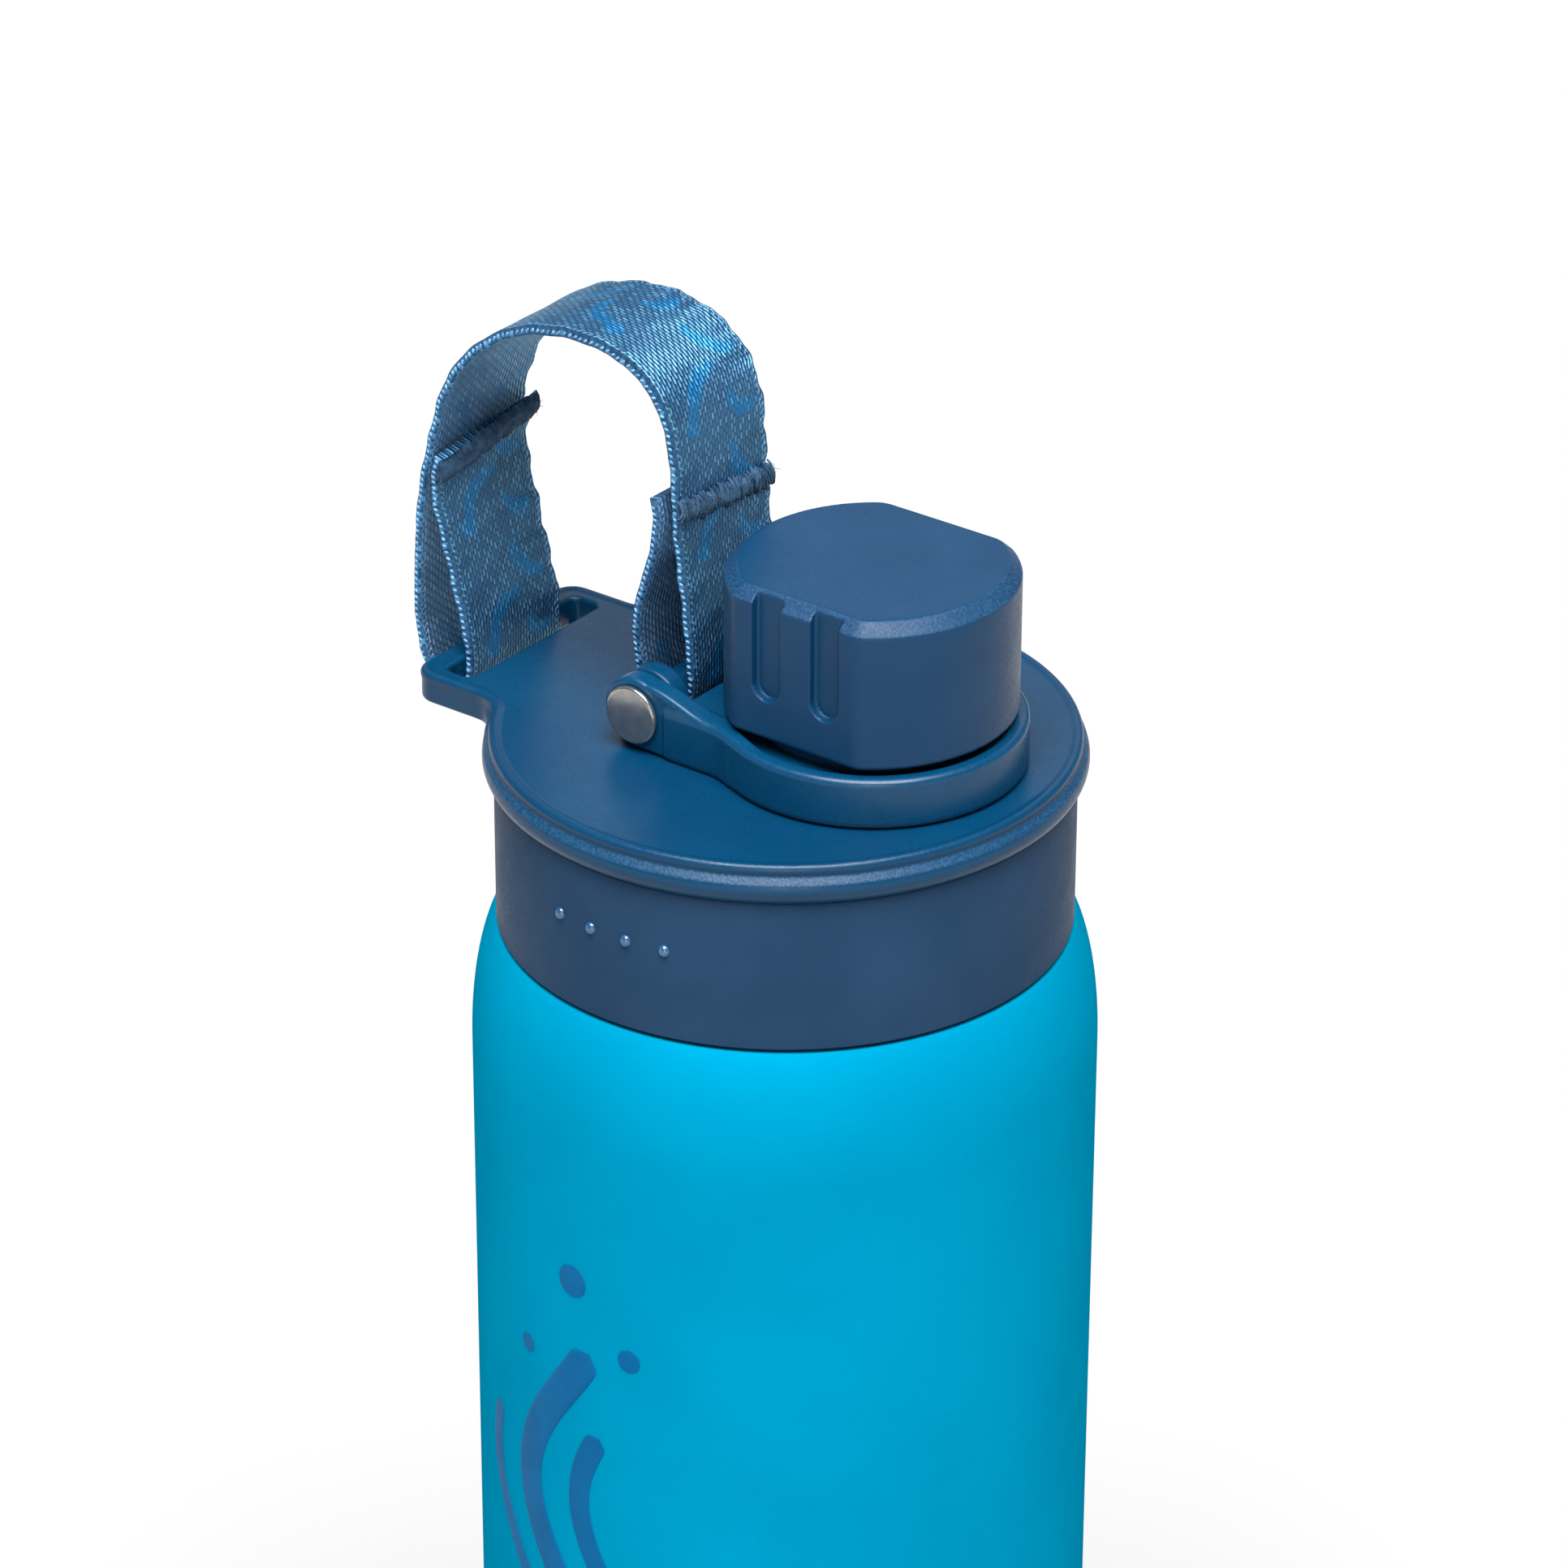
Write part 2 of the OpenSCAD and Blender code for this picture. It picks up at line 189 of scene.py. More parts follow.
def joined(*parts):
    """Several (vertices, faces) as one."""
    verts, faces, at = [], [], 0
    for v, f in parts:
        verts.append(np.asarray(v, float))
        faces += [[int(i) + at for i in q] for q in f]
        at += len(v)
    return np.concatenate(verts), faces


def tube(path, radius, sides, up):
    """A closed tube along a path; radius may be one number or one for each point."""
    path = np.asarray(path, float)
    n = len(path)
    radius = np.broadcast_to(np.asarray(radius, float), (n,))
    tangent = np.gradient(path, axis=0)
    tangent /= np.linalg.norm(tangent, axis=1)[:, None]
    side = np.cross(tangent, np.asarray(up, float))
    side /= np.linalg.norm(side, axis=1)[:, None]
    top = np.cross(side, tangent)
    a = np.linspace(0, 2 * math.pi, sides, endpoint=False)
    ring = np.cos(a)[None, :, None] * side[:, None] + np.sin(a)[None, :, None] * top[:, None]
    v = (path[:, None] + ring * radius[:, None, None]).reshape(-1, 3)
    faces = [[i * sides + k, i * sides + (k + 1) % sides, (i + 1) * sides + (k + 1) % sides,
              (i + 1) * sides + k] for i in range(n - 1) for k in range(sides)]
    faces.append(list(range(sides))[::-1])
    faces.append([(n - 1) * sides + k for k in range(sides)])
    return v, faces


def thread(root, crest, z0, start, sweep, pitch, w_root, w_crest, centre=(0, 0)):
    """One helical thread ridge whose ends run out, with a point about every 4 degrees."""
    n = int(sweep / 4)
    way = 1 if crest > root else -1
    t = np.linspace(0, 1, n + 1)
    a = np.radians(start + sweep * t)
    z = z0 + pitch * sweep * t / 360
    k = np.clip(np.minimum(t, 1 - t) * 8, 0.2, 1)
    r = root + (crest - root) * k
    rows = []
    for rr, dz in ((root, -w_root), (None, -w_crest), (None, w_crest), (root, w_root)):
        rad = r if rr is None else np.full(n + 1, rr)
        rows.append(np.stack([centre[0] + rad * np.cos(a), centre[1] + rad * np.sin(a),
                              z + way * dz / 2], -1))
    v = np.stack(rows, 1).reshape(-1, 3)
    faces = [[4 * i + j, 4 * i + (j + 1) % 4, 4 * i + 4 + (j + 1) % 4, 4 * i + 4 + j]
             for i in range(n) for j in range(4)]
    return v, faces + [[3, 2, 1, 0], [4 * n, 4 * n + 1, 4 * n + 2, 4 * n + 3]]


# ---------------------------------------------------------------- rounded solids by distance


def smin(a, b, k):
    """The union of two distances, blended over k."""
    h = np.maximum(k - np.abs(a - b), 0) / k
    return np.minimum(a, b) - h * h * k / 4


def smax(a, b, k):
    """The overlap of two distances, blended over k."""
    return -smin(-a, -b, k)


def smooth(t):
    """0 below t = 0 and 1 above t = 1, with a smooth step between."""
    t = np.clip(t, 0, 1)
    return t * t * (3 - 2 * t)


def slab(d, z, z0, z1, r):
    """A plan distance d made solid from z0 to z1, its edges rounded by r."""
    a = d + r
    b = np.abs(z - (z0 + z1) / 2) - (z1 - z0) / 2 + r
    return np.minimum(np.maximum(a, b), 0) + np.hypot(np.maximum(a, 0), np.maximum(b, 0)) - r


def outline_distance(outline, u, v):
    """Signed distance to a closed outline, negative inside."""
    pts = np.array(outline, float)
    best, sign = np.full(u.shape, 1e9), np.ones(u.shape)
    for (ax, ay), (bx, by) in zip(pts, np.roll(pts, 1, axis=0)):
        ex, ey = bx - ax, by - ay
        if ex * ex + ey * ey < 1e-12:
            continue
        wx, wy = u - ax, v - ay
        t = np.clip((wx * ex + wy * ey) / (ex * ex + ey * ey), 0, 1)
        best = np.minimum(best, (wx - ex * t) ** 2 + (wy - ey * t) ** 2)
        c1, c2, c3 = v >= ay, v < by, ex * wy > ey * wx
        sign = np.where((c1 & c2 & c3) | (~c1 & ~c2 & ~c3), -sign, sign)
    return sign * np.sqrt(best)


def table(outline, u0, u1, v0, v1, step):
    """outline_distance looked up on a fine lattice, as a function."""
    us, vs = np.arange(u0, u1 + step, step), np.arange(v0, v1 + step, step)
    grid = outline_distance(outline, *np.meshgrid(us, vs, indexing="ij")).astype(np.float32)

    def look(u, v):
        fu = np.clip((u - u0) / step, 0, len(us) - 1.001)
        fv = np.clip((v - v0) / step, 0, len(vs) - 1.001)
        i, j = fu.astype(np.int32), fv.astype(np.int32)
        a, b = fu - i, fv - j
        return ((1 - a) * (1 - b) * grid[i, j] + a * (1 - b) * grid[i + 1, j]
                + (1 - a) * b * grid[i, j + 1] + a * b * grid[i + 1, j + 1])

    return look


def gradient(f, p, e):
    """The slope of f at points p, from steps of e."""
    g = np.stack([f(p[:, 0] + e, p[:, 1], p[:, 2]) - f(p[:, 0] - e, p[:, 1], p[:, 2]),
                  f(p[:, 0], p[:, 1] + e, p[:, 2]) - f(p[:, 0], p[:, 1] - e, p[:, 2]),
                  f(p[:, 0], p[:, 1], p[:, 2] + e) - f(p[:, 0], p[:, 1], p[:, 2] - e)], -1)
    return g / (2 * e)


def settle(f, p, h, rounds=4):
    """Moves points onto the surface f = 0."""
    for _ in range(rounds):
        g = gradient(f, p, 0.02)
        d = f(p[:, 0], p[:, 1], p[:, 2])
        move = d[:, None] * g / np.maximum((g * g).sum(1), 0.2)[:, None]
        size = np.linalg.norm(move, axis=1)[:, None]
        p = p - move * np.minimum(1, h / np.maximum(size, 1e-9))
    return p


def surface_net(f, lo, hi, h):
    """Vertices and quads of the surface f = 0 in a lattice of step h between two corners."""
    axes = [np.arange(a, b + h, h) for a, b in zip(lo, hi)]
    value = np.empty([len(a) for a in axes], np.float32)
    for i, x in enumerate(axes[0]):
        yy, zz = np.meshgrid(axes[1], axes[2], indexing="ij")
        value[i] = f(np.full(yy.shape, x), yy, zz)
    inside = value < 0
    n0, n1, n2 = (len(a) - 1 for a in axes)
    count = np.zeros((n0, n1, n2), np.int8)
    corners = [(a, b, c) for a in (0, 1) for b in (0, 1) for c in (0, 1)]
    for a, b, c in corners:
        count += inside[a:a + n0, b:b + n1, c:c + n2]
    cell = np.argwhere((count > 0) & (count < 8))
    index = np.full((n0, n1, n2), -1, np.int32)
    index[tuple(cell.T)] = np.arange(len(cell))
    vals = {c: value[cell[:, 0] + c[0], cell[:, 1] + c[1], cell[:, 2] + c[2]] for c in corners}
    total, hits = np.zeros((len(cell), 3)), np.zeros(len(cell))
    for c in corners:
        for axis in range(3):
            if c[axis]:
                continue
            d = list(c)
            d[axis] = 1
            va, vb = vals[c], vals[tuple(d)]
            cut = (va < 0) != (vb < 0)
            t = np.where(cut, va / np.where(cut, va - vb, 1), 0)
            p = np.array(c, float)[None] + np.eye(3)[axis][None] * t[:, None]
            total += p * cut[:, None]
            hits += cut
    verts = (cell + total / hits[:, None]) * h + np.array(lo, float)
    quads = []
    for axis in range(3):
        b, c = (axis + 1) % 3, (axis + 2) % 3
        low = [slice(None)] * 3
        high = [slice(None)] * 3
        low[axis], high[axis] = slice(0, -1), slice(1, None)
        va, vb = inside[tuple(low)], inside[tuple(high)]
        edge = np.argwhere(va != vb)
        good = (edge[:, b] > 0) & (edge[:, c] > 0) & (edge[:, b] < (n0, n1, n2)[b]) & (
            edge[:, c] < (n0, n1, n2)[c])
        edge = edge[good]
        out = va[tuple(edge.T)]
        around = []
        for db, dc in ((-1, -1), (0, -1), (0, 0), (-1, 0)):
            q = edge.copy()
            q[:, b] += db
            q[:, c] += dc
            around.append(index[tuple(q.T)])
        q = np.stack(around, 1)
        quads.append(np.where(out[:, None], q, q[:, ::-1]))
    return settle(f, verts, h), np.concatenate(quads)


def distance_mesh(name, f, lo, hi, h, keep, material):
    """A thinned mesh of the surface f = 0 between two corners, with the surface's own normals."""
    verts, faces = surface_net(f, lo, hi, h)
    mesh = bpy.data.meshes.new(name)
    mesh.from_pydata(verts.tolist(), [], faces.tolist())
    obj = bpy.data.objects.new(name + "_fine", mesh)
    bpy.context.scene.collection.objects.link(obj)
    thin = obj.modifiers.new("thin", "DECIMATE")
    thin.ratio = keep
    graph = bpy.context.evaluated_depsgraph_get()
    small = bpy.data.meshes.new_from_object(obj.evaluated_get(graph))
    bpy.data.objects.remove(obj)
    verts = np.empty(len(small.vertices) * 3, np.float32)
    small.vertices.foreach_get("co", verts)
    verts = settle(f, verts.reshape(-1, 3).astype(float), h / 2)
    faces = [list(p.vertices) for p in small.polygons]
    normals = gradient(f, verts, 0.06)
    normals /= np.maximum(np.linalg.norm(normals, axis=1), 1e-6)[:, None]
    bpy.data.meshes.remove(small)
    return add_mesh(name, verts, faces, material, normals)


# ---------------------------------------------------------------- materials


class Look:
    """A node material, built up call by call."""

    def __init__(self, name):
        self.material = bpy.data.materials.new(name)
        self.material.use_nodes = True
        self.tree = self.material.node_tree
        self.tree.nodes.clear()
        at = self.node("TexCoord").outputs["Object"]
        self.mm = self.node("VectorMath", {0: at, "Scale": 1 / MM}, operation="SCALE").outputs[0]

    def node(self, kind, inputs=None, **settings):
        n = self.tree.nodes.new("ShaderNode" + kind)
        for key, value in settings.items():
            setattr(n, key, value)
        for key, value in (inputs or {}).items():
            if isinstance(value, bpy.types.NodeSocket):
                self.tree.links.new(value, n.inputs[key])
            else:
                n.inputs[key].default_value = value
        return n

    def math(self, operation, a, b=0.0):
        return self.node("Math", {0: a, 1: b}, operation=operation).outputs[0]

    def ranged(self, value, a, b, c=0.0, d=1.0):
        """c where the value is under a and d where it is over b, with a smooth step between."""
        return self.node("MapRange", {0: value, 1: a, 2: b, 3: c, 4: d},
                         interpolation_type="SMOOTHSTEP").outputs[0]

    def times(self, a, b):
        return self.math("MULTIPLY", a, b)

    def plus(self, a, b):
        return self.math("ADD", a, b)

    def minus(self, a, b):
        return self.math("SUBTRACT", a, b)

    def mix(self, share, a, b):
        """Colour a with a share of colour b."""
        return self.node("Mix", {0: share, 6: a, 7: b}, data_type="RGBA").outputs[2]

    def noise(self, size_mm, detail=2.0, stretch=None):
        where = self.mm
        if stretch is not None:
            where = self.node("VectorMath", {0: where, 1: stretch}, operation="MULTIPLY").outputs[0]
        return self.node("TexNoise", {"Vector": where, "Scale": 1 / size_mm, "Detail": detail}
                         ).outputs[0]

    def bump(self, height, depth_mm, below=None):
        inputs = {"Height": height, "Distance": depth_mm * MM, "Strength": 1.0}
        if below is not None:
            inputs["Normal"] = below
        return self.node("Bump", inputs).outputs[0]

    def surface(self, **inputs):
        shader = self.node("BsdfPrincipled", {k.replace("_", " "): v for k, v in inputs.items()})
        out = self.node("OutputMaterial", {"Surface": shader.outputs[0]})
        out.is_active_output = True
        return self.material


def colour(r, g, b):
    """A screen colour of 0 to 255 as the linear colour that Blender takes."""
    def one(c):
        c /= 255
        return c / 12.92 if c <= 0.04045 else ((c + 0.055) / 1.055) ** 2.4
    return (one(r), one(g), one(b), 1)


def moulded(name, dark, light, rough, grain_mm, depth_mm, shine=0.5, grain_and_highlight_zone=None):
    """Moulded plastic: a fine spark-eroded grain, faint flow marks and rubbed, shinier spots.

    The optional grain_and_highlight_zone marks a part of the surface with a coarser, rougher grain
    and a painted highlight that lightens its colour."""
    s = Look(name)
    grain = s.noise(grain_mm, 2.5)
    flow = s.noise(14, 3)
    rubbed = s.ranged(s.noise(3.2, 4), 0.45, 0.75)
    tone = s.mix(s.ranged(flow, 0.3, 0.7), dark, light)
    bright = tuple(min(1, c * 1.5 + 0.01) for c in light[:3]) + (1,)
    tone = s.mix(s.ranged(grain, 0.62, 0.8, 0, 0.25), tone, bright)
    roughness = s.plus(s.ranged(grain, 0.3, 0.7, rough - 0.06, rough + 0.06),
                       s.times(rubbed, -0.05))
    height = s.times(grain, depth_mm)
    if grain_and_highlight_zone is not None:
        inside = grain_and_highlight_zone(s)
        coarse = s.noise(0.3, 2)
        # Painted highlight: inside the marked part the colour is lightened with the coarse grain;
        # the extra roughness and bumps are real.
        tone = s.mix(s.times(inside, s.ranged(coarse, 0.35, 0.7, 0.0, 0.8)), tone,
                     tuple(c * 1.3 + 0.014 for c in light[:3]) + (1,))
        roughness = s.plus(roughness, s.times(inside, 0.11))
        height = s.plus(height, s.times(s.times(inside, coarse), 0.035))
    return s.surface(Base_Color=tone, Roughness=roughness, Specular_IOR_Level=shine,
                     Normal=s.bump(height, 1, s.bump(s.noise(5, 1), 0.03)))


def rim_grain_and_highlight(s):
    """The matt band round the lid's edge, above its bead, with a coarser grain and a painted
    highlight that lightens its colour.
    """
    x, y, z = s.node("SeparateXYZ", {0: s.mm}).outputs
    r = s.math("SQRT", s.plus(s.times(x, x), s.times(y, y)))
    z = s.minus(z, COLLAR_Z)
    band = s.times(s.ranged(z, 21.3, 21.42), s.ranged(z, 22.15, 22.3, 1, 0))
    return s.times(band, s.times(s.ranged(r, 33.6, 33.75), s.ranged(r, 35, 35.3, 1, 0)))


def chamfer_grain_and_highlight(s):
    """The matt chamfer round the cap's top, with a coarser grain and a painted highlight that
    lightens its colour.
    """
    z = s.node("SeparateXYZ", {0: s.mm}).outputs[2]
    up = s.node("SeparateXYZ", {0: s.node("TexCoord").outputs["Normal"]}).outputs[2]
    high = s.ranged(s.minus(z, COLLAR_Z), CAP_TOP - 1.75, CAP_TOP - 1.6)
    slope = s.times(s.ranged(up, 0.3, 0.5), s.ranged(up, 0.9, 0.97, 1, 0))
    return s.times(high, slope)


def frosted():
    """The cyan body: satin, with a little light passing through it."""
    s = Look("frosted_body")
    grain = s.noise(0.22, 2)
    cloud = s.noise(26, 3)
    tone = s.mix(s.ranged(cloud, 0.3, 0.7), colour(0, 120, 155), colour(0, 126, 161))
    return s.surface(Base_Color=tone, Roughness=s.ranged(grain, 0.3, 0.7, 0.5, 0.6),
                     Subsurface_Weight=0.15, Subsurface_Radius=(0.2, 0.8, 1.0),
                     Subsurface_Scale=0.004, Specular_IOR_Level=0.0,
                     Normal=s.bump(grain, 0.006, s.bump(s.noise(18, 1), 0.1)))


def silicone():
    """Pale rubber for the two hidden seals."""
    s = Look("silicone")
    cloud = s.noise(2.5, 3)
    tone = s.mix(cloud, colour(205, 214, 220), colour(228, 233, 236))
    return s.surface(Base_Color=tone, Roughness=s.ranged(cloud, 0.3, 0.7, 0.35, 0.5),
                     Subsurface_Weight=0.4, Subsurface_Radius=(1, 1, 1), Subsurface_Scale=0.002,
                     Normal=s.bump(s.noise(0.4, 2), 0.01))


def steel():
    """Satin steel with faint rubbed spots."""
    s = Look("satin_steel")
    grain = s.noise(0.12, 3)
    wear = s.noise(1.3, 4)
    tone = s.mix(s.ranged(wear, 0.35, 0.7), colour(148, 148, 149), colour(164, 161, 157))
    return s.surface(Base_Color=tone, Metallic=0.88,
                     Roughness=s.ranged(grain, 0.25, 0.75, 0.15, 0.24),
                     Normal=s.bump(grain, 0.006))


def ink():
    """The print's flat blue ink."""
    s = Look("print")
    grain = s.noise(0.25, 3)
    tone = s.mix(s.ranged(s.noise(6, 3), 0.3, 0.7), colour(0, 80, 126), colour(0, 86, 134))
    return s.surface(Base_Color=tone, Specular_IOR_Level=0.05,
                     Roughness=s.ranged(grain, 0.3, 0.7, 0.42, 0.55),
                     Normal=s.bump(grain, 0.008))


# The lid's rim band carries a painted highlight as well as a coarser grain.
LID = moulded("lid_plastic", colour(0, 46, 76), colour(0, 50, 80), 0.34, 0.35, 0.002, 0.26,
              rim_grain_and_highlight)
COLLAR = moulded("collar_plastic", colour(28, 54, 80), colour(34, 59, 86), 0.46, 0.3, 0.012, 0.04)
DOTS = moulded("dot_plastic", colour(26, 70, 106), colour(34, 80, 118), 0.16, 0.3, 0.002, 0.9)
YOKE = moulded("yoke_plastic", colour(0, 52, 83), colour(0, 55, 87), 0.32, 0.35, 0.0012, 0.34)
# The cap's chamfer carries a painted highlight as well as a coarser grain.
CAP = moulded("cap_plastic", colour(2, 45, 76), colour(6, 49, 80), 0.4, 0.32, 0.008, 0.22,
              chamfer_grain_and_highlight)
CORE = moulded("core_plastic", colour(20, 50, 76), colour(26, 56, 84), 0.6, 0.3, 0.01, 0.2)
BODY, SILICONE, STEEL, INK = frosted(), silicone(), steel(), ink()
for node, look in (("lid_gasket", SILICONE), ("cap_gasket", SILICONE), ("cap_core", CORE)):
    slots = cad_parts[node].data.materials
    slots.clear()
    slots.append(look)


# ---------------------------------------------------------------- bottle body


def make_body():
    """The hollow body in one turned profile, from the middle of its base round to its floor."""
    r, wall, inner, neck_r, neck_top = BODY_R, 1.6, 27.4, 29.7, 16.95
    heel, shoulder, top = 6, 5.1, COLLAR_Z
    outer = [(0, 0), (23.9, 0), (24.4, 0.55), (25, 0.8), (26, 0.8), (26.6, 0.55), (27.1, 0)]
    outer += arc(r - heel, heel, heel, -90, 0, 14) + [(r, z) for z in np.linspace(30, top - 40, 5)]
    a = np.radians(np.linspace(0, 63.1, 22))
    outer += list(zip(r - shoulder + shoulder * np.cos(a), top - 16 + 17.5 * np.sin(a)))
    neck = rounded([(neck_r + 0.5, -0.4, 0.3), (neck_r, 0.1, 0.4), (neck_r, neck_top, 0.6),
                    (inner, neck_top, 0.5), (inner, -1.6, 0.5), (inner + 0.5, -2.1, 0.4)])
    outer += [(u, v + top) for u, v in neck]
    a = np.radians(np.linspace(88, 0, 20))
    outer += list(zip(r - shoulder + (shoulder - wall) * np.cos(a), top - 16 + 13.9 * np.sin(a)))
    outer += [(r - wall, z) for z in np.linspace(top - 40, 30, 5)]
    outer += arc(r - heel, heel + 1.2, heel - wall, 0, -90, 10) + [(0, wall + 1.2)]
    parts = [revolve(outer, 256)]
    for start in (0, 180):
        parts.append(thread(neck_r - 0.4, neck_r + 1.2, top + 6, start, 300, THREAD_LEAD, 2.2, 0.8))
    body = add_mesh("bottle", *joined(*parts), BODY, flat_angle=40, lift=False)
    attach(body, "bottle")
    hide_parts("bottle_body")


def stroke(s, z, width, radius):
    """An inked stroke lying on the body, along points (s, z): s runs round it and z up it."""
    path = np.stack([s, z], 1)
    step = np.linalg.norm(np.diff(path, axis=0), axis=1)
    along = np.concatenate([[0], np.cumsum(step)])
    tangent = np.gradient(path, axis=0)
    tangent /= np.linalg.norm(tangent, axis=1)[:, None]
    across = np.stack([-tangent[:, 1], tangent[:, 0]], 1)
    left = np.minimum(along, along[-1] - along)
    half = width / 2
    full = half * np.sqrt(np.clip(1 - np.clip(1 - left / half, 0, 1) ** 2, 0.0004, 1))
    share = np.array([-1, -0.96, -0.7, -0.35, 0, 0.35, 0.7, 0.96, 1])
    rise = np.array([-0.03, 0.05] + [0.06] * 5 + [0.05, -0.03])
    m = len(share)
    verts = []
    for top in (True, False):
        p = path[:, None] + across[:, None] * (full[:, None] * share[None])[..., None]
        r = radius + (rise if top else np.full(m, -0.05))[None]
        angle = p[..., 0] / radius
        verts.append(np.stack([r * np.cos(angle), r * np.sin(angle), p[..., 1]], -1).reshape(-1, 3))
    n = len(path)
    under = n * m
    faces = []
    for i in range(n - 1):
        for k in range(m - 1):
            a, b = i * m + k, (i + 1) * m + k
            faces.append([a, a + 1, b + 1, b])
            faces.append([under + a, under + b, under + b + 1, under + a + 1])
        for k in (0, m - 1):
            a, b = i * m + k, (i + 1) * m + k
            q = [a, b, under + b, under + a]
            faces.append(q if k == 0 else q[::-1])
    for i in (0, n - 1):
        for k in range(m - 1):
            a = i * m + k
            q = [a, under + a, under + a + 1, a + 1]
            faces.append(q if i == 0 else q[::-1])
    return np.concatenate(verts), faces


def make_print():
    """Plain water waves and drops running up the body."""
    middle = math.radians(-97) * BODY_R
    swing, length = 6.5, 58
    parts = []
    for shift, low, high, width in ((0, 22, 142, 4.4), (8.6, 30, 131, 3.2), (-8.2, 34, 127, 2.4)):
        z = np.linspace(low, high, 160)
        s = middle + shift + swing * np.sin(2 * math.pi * (z - 20) / length)
        parts.append(stroke(s, z, width, BODY_R))
    for shift, z0, size in ((1.5, 151, 4.2), (9.5, 143, 3), (-6.5, 139, 2.4)):
        z = np.linspace(z0 - size / 2, z0 + size / 2, 16)
        parts.append(stroke(np.full(16, middle + shift), z, size, BODY_R))
    waves = add_mesh("print_waves", *joined(*parts), INK, flat_angle=50, lift=False)
    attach(waves, "bottle")


# ---------------------------------------------------------------- lid


def make_collar():
    """The collar with its inner thread, and the four glossy dots on it."""
    r = COLLAR_R
    dot_z, dot_gap = 11.1, math.radians(8.4)
    wall = rounded([(31.5, 0, 0.3), (r, 0, 0.28), (r, 9, 0), (r, 18.65, 0.3), (32.75, 18.65, 0.1),
                    (32.75, 20.3, 0.1), (31.85, 20.3, 0.1), (31.85, 18.6, 0.1), (31.5, 18.6, 0.3)])
    parts, dots = [revolve(wall, 256)], []
    for start in (60, 240):
        parts.append(thread(31.9, 30.3, 8.5, start, 240, THREAD_LEAD, 2.2, 0.8))
    ball = [(0.72 * math.cos(t), 0.8 * math.sin(t)) for t in np.radians(np.linspace(-90, 90, 19))]
    ball[0], ball[-1] = (0, -0.8), (0, 0.8)
    ball, f = revolve(ball, 28, closed=False)
    for i in range(4):
        a = math.radians(-89.3) + (i - 1.5) * dot_gap
        dots.append((ball + [(r - 0.2) * math.cos(a), (r - 0.2) * math.sin(a), dot_z], f))
    collar = add_mesh("collar", *joined(*parts), COLLAR, flat_angle=35)
    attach(collar, "lid")
    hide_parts("lid_collar")
    dots = add_mesh("collar_dots", *joined(*dots), DOTS, flat_angle=60)
    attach(dots, "lid")


def tab_outline():
    """The strap tab's outline, with concave blends into the round rim."""
    root, blend, corner, half = 33.9, 6, 2.6, 14.5
    cy = half + blend
    cx = math.sqrt((root + blend) ** 2 - cy ** 2)
    low = [(-20, -root * cy / (root + blend))]
    low += arc(-cx, -cy, blend, math.degrees(math.atan2(cy, cx)), 90, 12)
    low += arc(-REACH + corner, -half + corner, corner, 270, 180, 10)
    return low + [(x, -y) for x, y in low[::-1]]


def make_lid():
    """The cover in one blended solid: rim, tab with its slot, hinge lugs and bar, and spout."""
    rim = 33.95
    bead = arc(32.75, 20.6, 2, -72, 24, 12)
    section = [(-5, 21.3)] + rounded([(25.4, 21.3, 0.4), (25.4, 15.2, 0.35), (26.9, 15.2, 0.35),
                                      (26.9, 18.6, 0.3), (31.8, 18.6, 0), (31.8, 20.4, 0),
                                      (32.8, 20.4, 0), (32.8, 18.75, 0), (33.37, 18.7, 0)],
                                     4)
    section += bead + [(33.85, 22.25), (33.8, 22.9), (33.4, LID_TOP), (-5, LID_TOP)]
    core = table(section, -6, 37, 13, 26, 0.05)
    tab = table(tab_outline(), -46, -10, -26, 26, 0.08)
    slot_x = -REACH + 4.75

    def f(x, y, z):
        r = np.hypot(x, y)
        t = tab(x, y)
        edge = np.minimum(r - rim, t)
        lower = smooth((23.1 - z) / 1.6)
        d = smin(core(r, z), slab(t, z, 19.6, LID_TOP, 0.5), 0.02 + 1.5 * lower)
        away = smooth((r - rim) / 3.5)
        lip = np.hypot(edge + 0.55, z - (23.02 - 0.15 * away)) - 0.5
        d = smin(d, lip, 0.6)
        rho = np.hypot(x - SPOUT_X, y)
        lug = slab(np.hypot(x - PIN_X, np.maximum(z - PIN_Z, 0)) - EYE_R,
                   np.abs(y), 9.4, 11.9, 0.4)
        d = smin(d, smax(lug, 21.6 - z, 0.3), 0.8)
        bar = np.maximum(np.hypot(x - PIN_X, z - PIN_Z) - 2.3, np.abs(y) - 10.5)
        d = smin(d, bar, 0.5)
        d = smin(d, slab(np.abs(rho - 7.6) - 0.8, z, 21.5, SPOUT_TOP, 0.55), 0.7)
        d = smax(d, 6.8 - rho, 0.5)
        hole = slab(np.hypot(np.maximum(np.abs(x - slot_x) - 0.8, 0),
                             np.maximum(np.abs(y) - 10.8, 0)) - 1.2, z, 10, 40, 0.01)
        return smax(d, -hole, 0.6)

    h = 0.34
    lid = distance_mesh("lid", f, (-44.6, -36.2, 14.4), (36.2, 36.2, 39.2), h,
                        0.4, LID)
    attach(lid, "lid")
    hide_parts("lid_cover")
    v, faces = thread(7.9, 9.1, 30.5, 51.7, 360, 3, 1.9, 0.6, (SPOUT_X, 0))
    screw = add_mesh("spout_thread", v, faces, LID, flat_angle=50)
    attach(screw, "lid")


# ---------------------------------------------------------------- yoke, rivet and cap


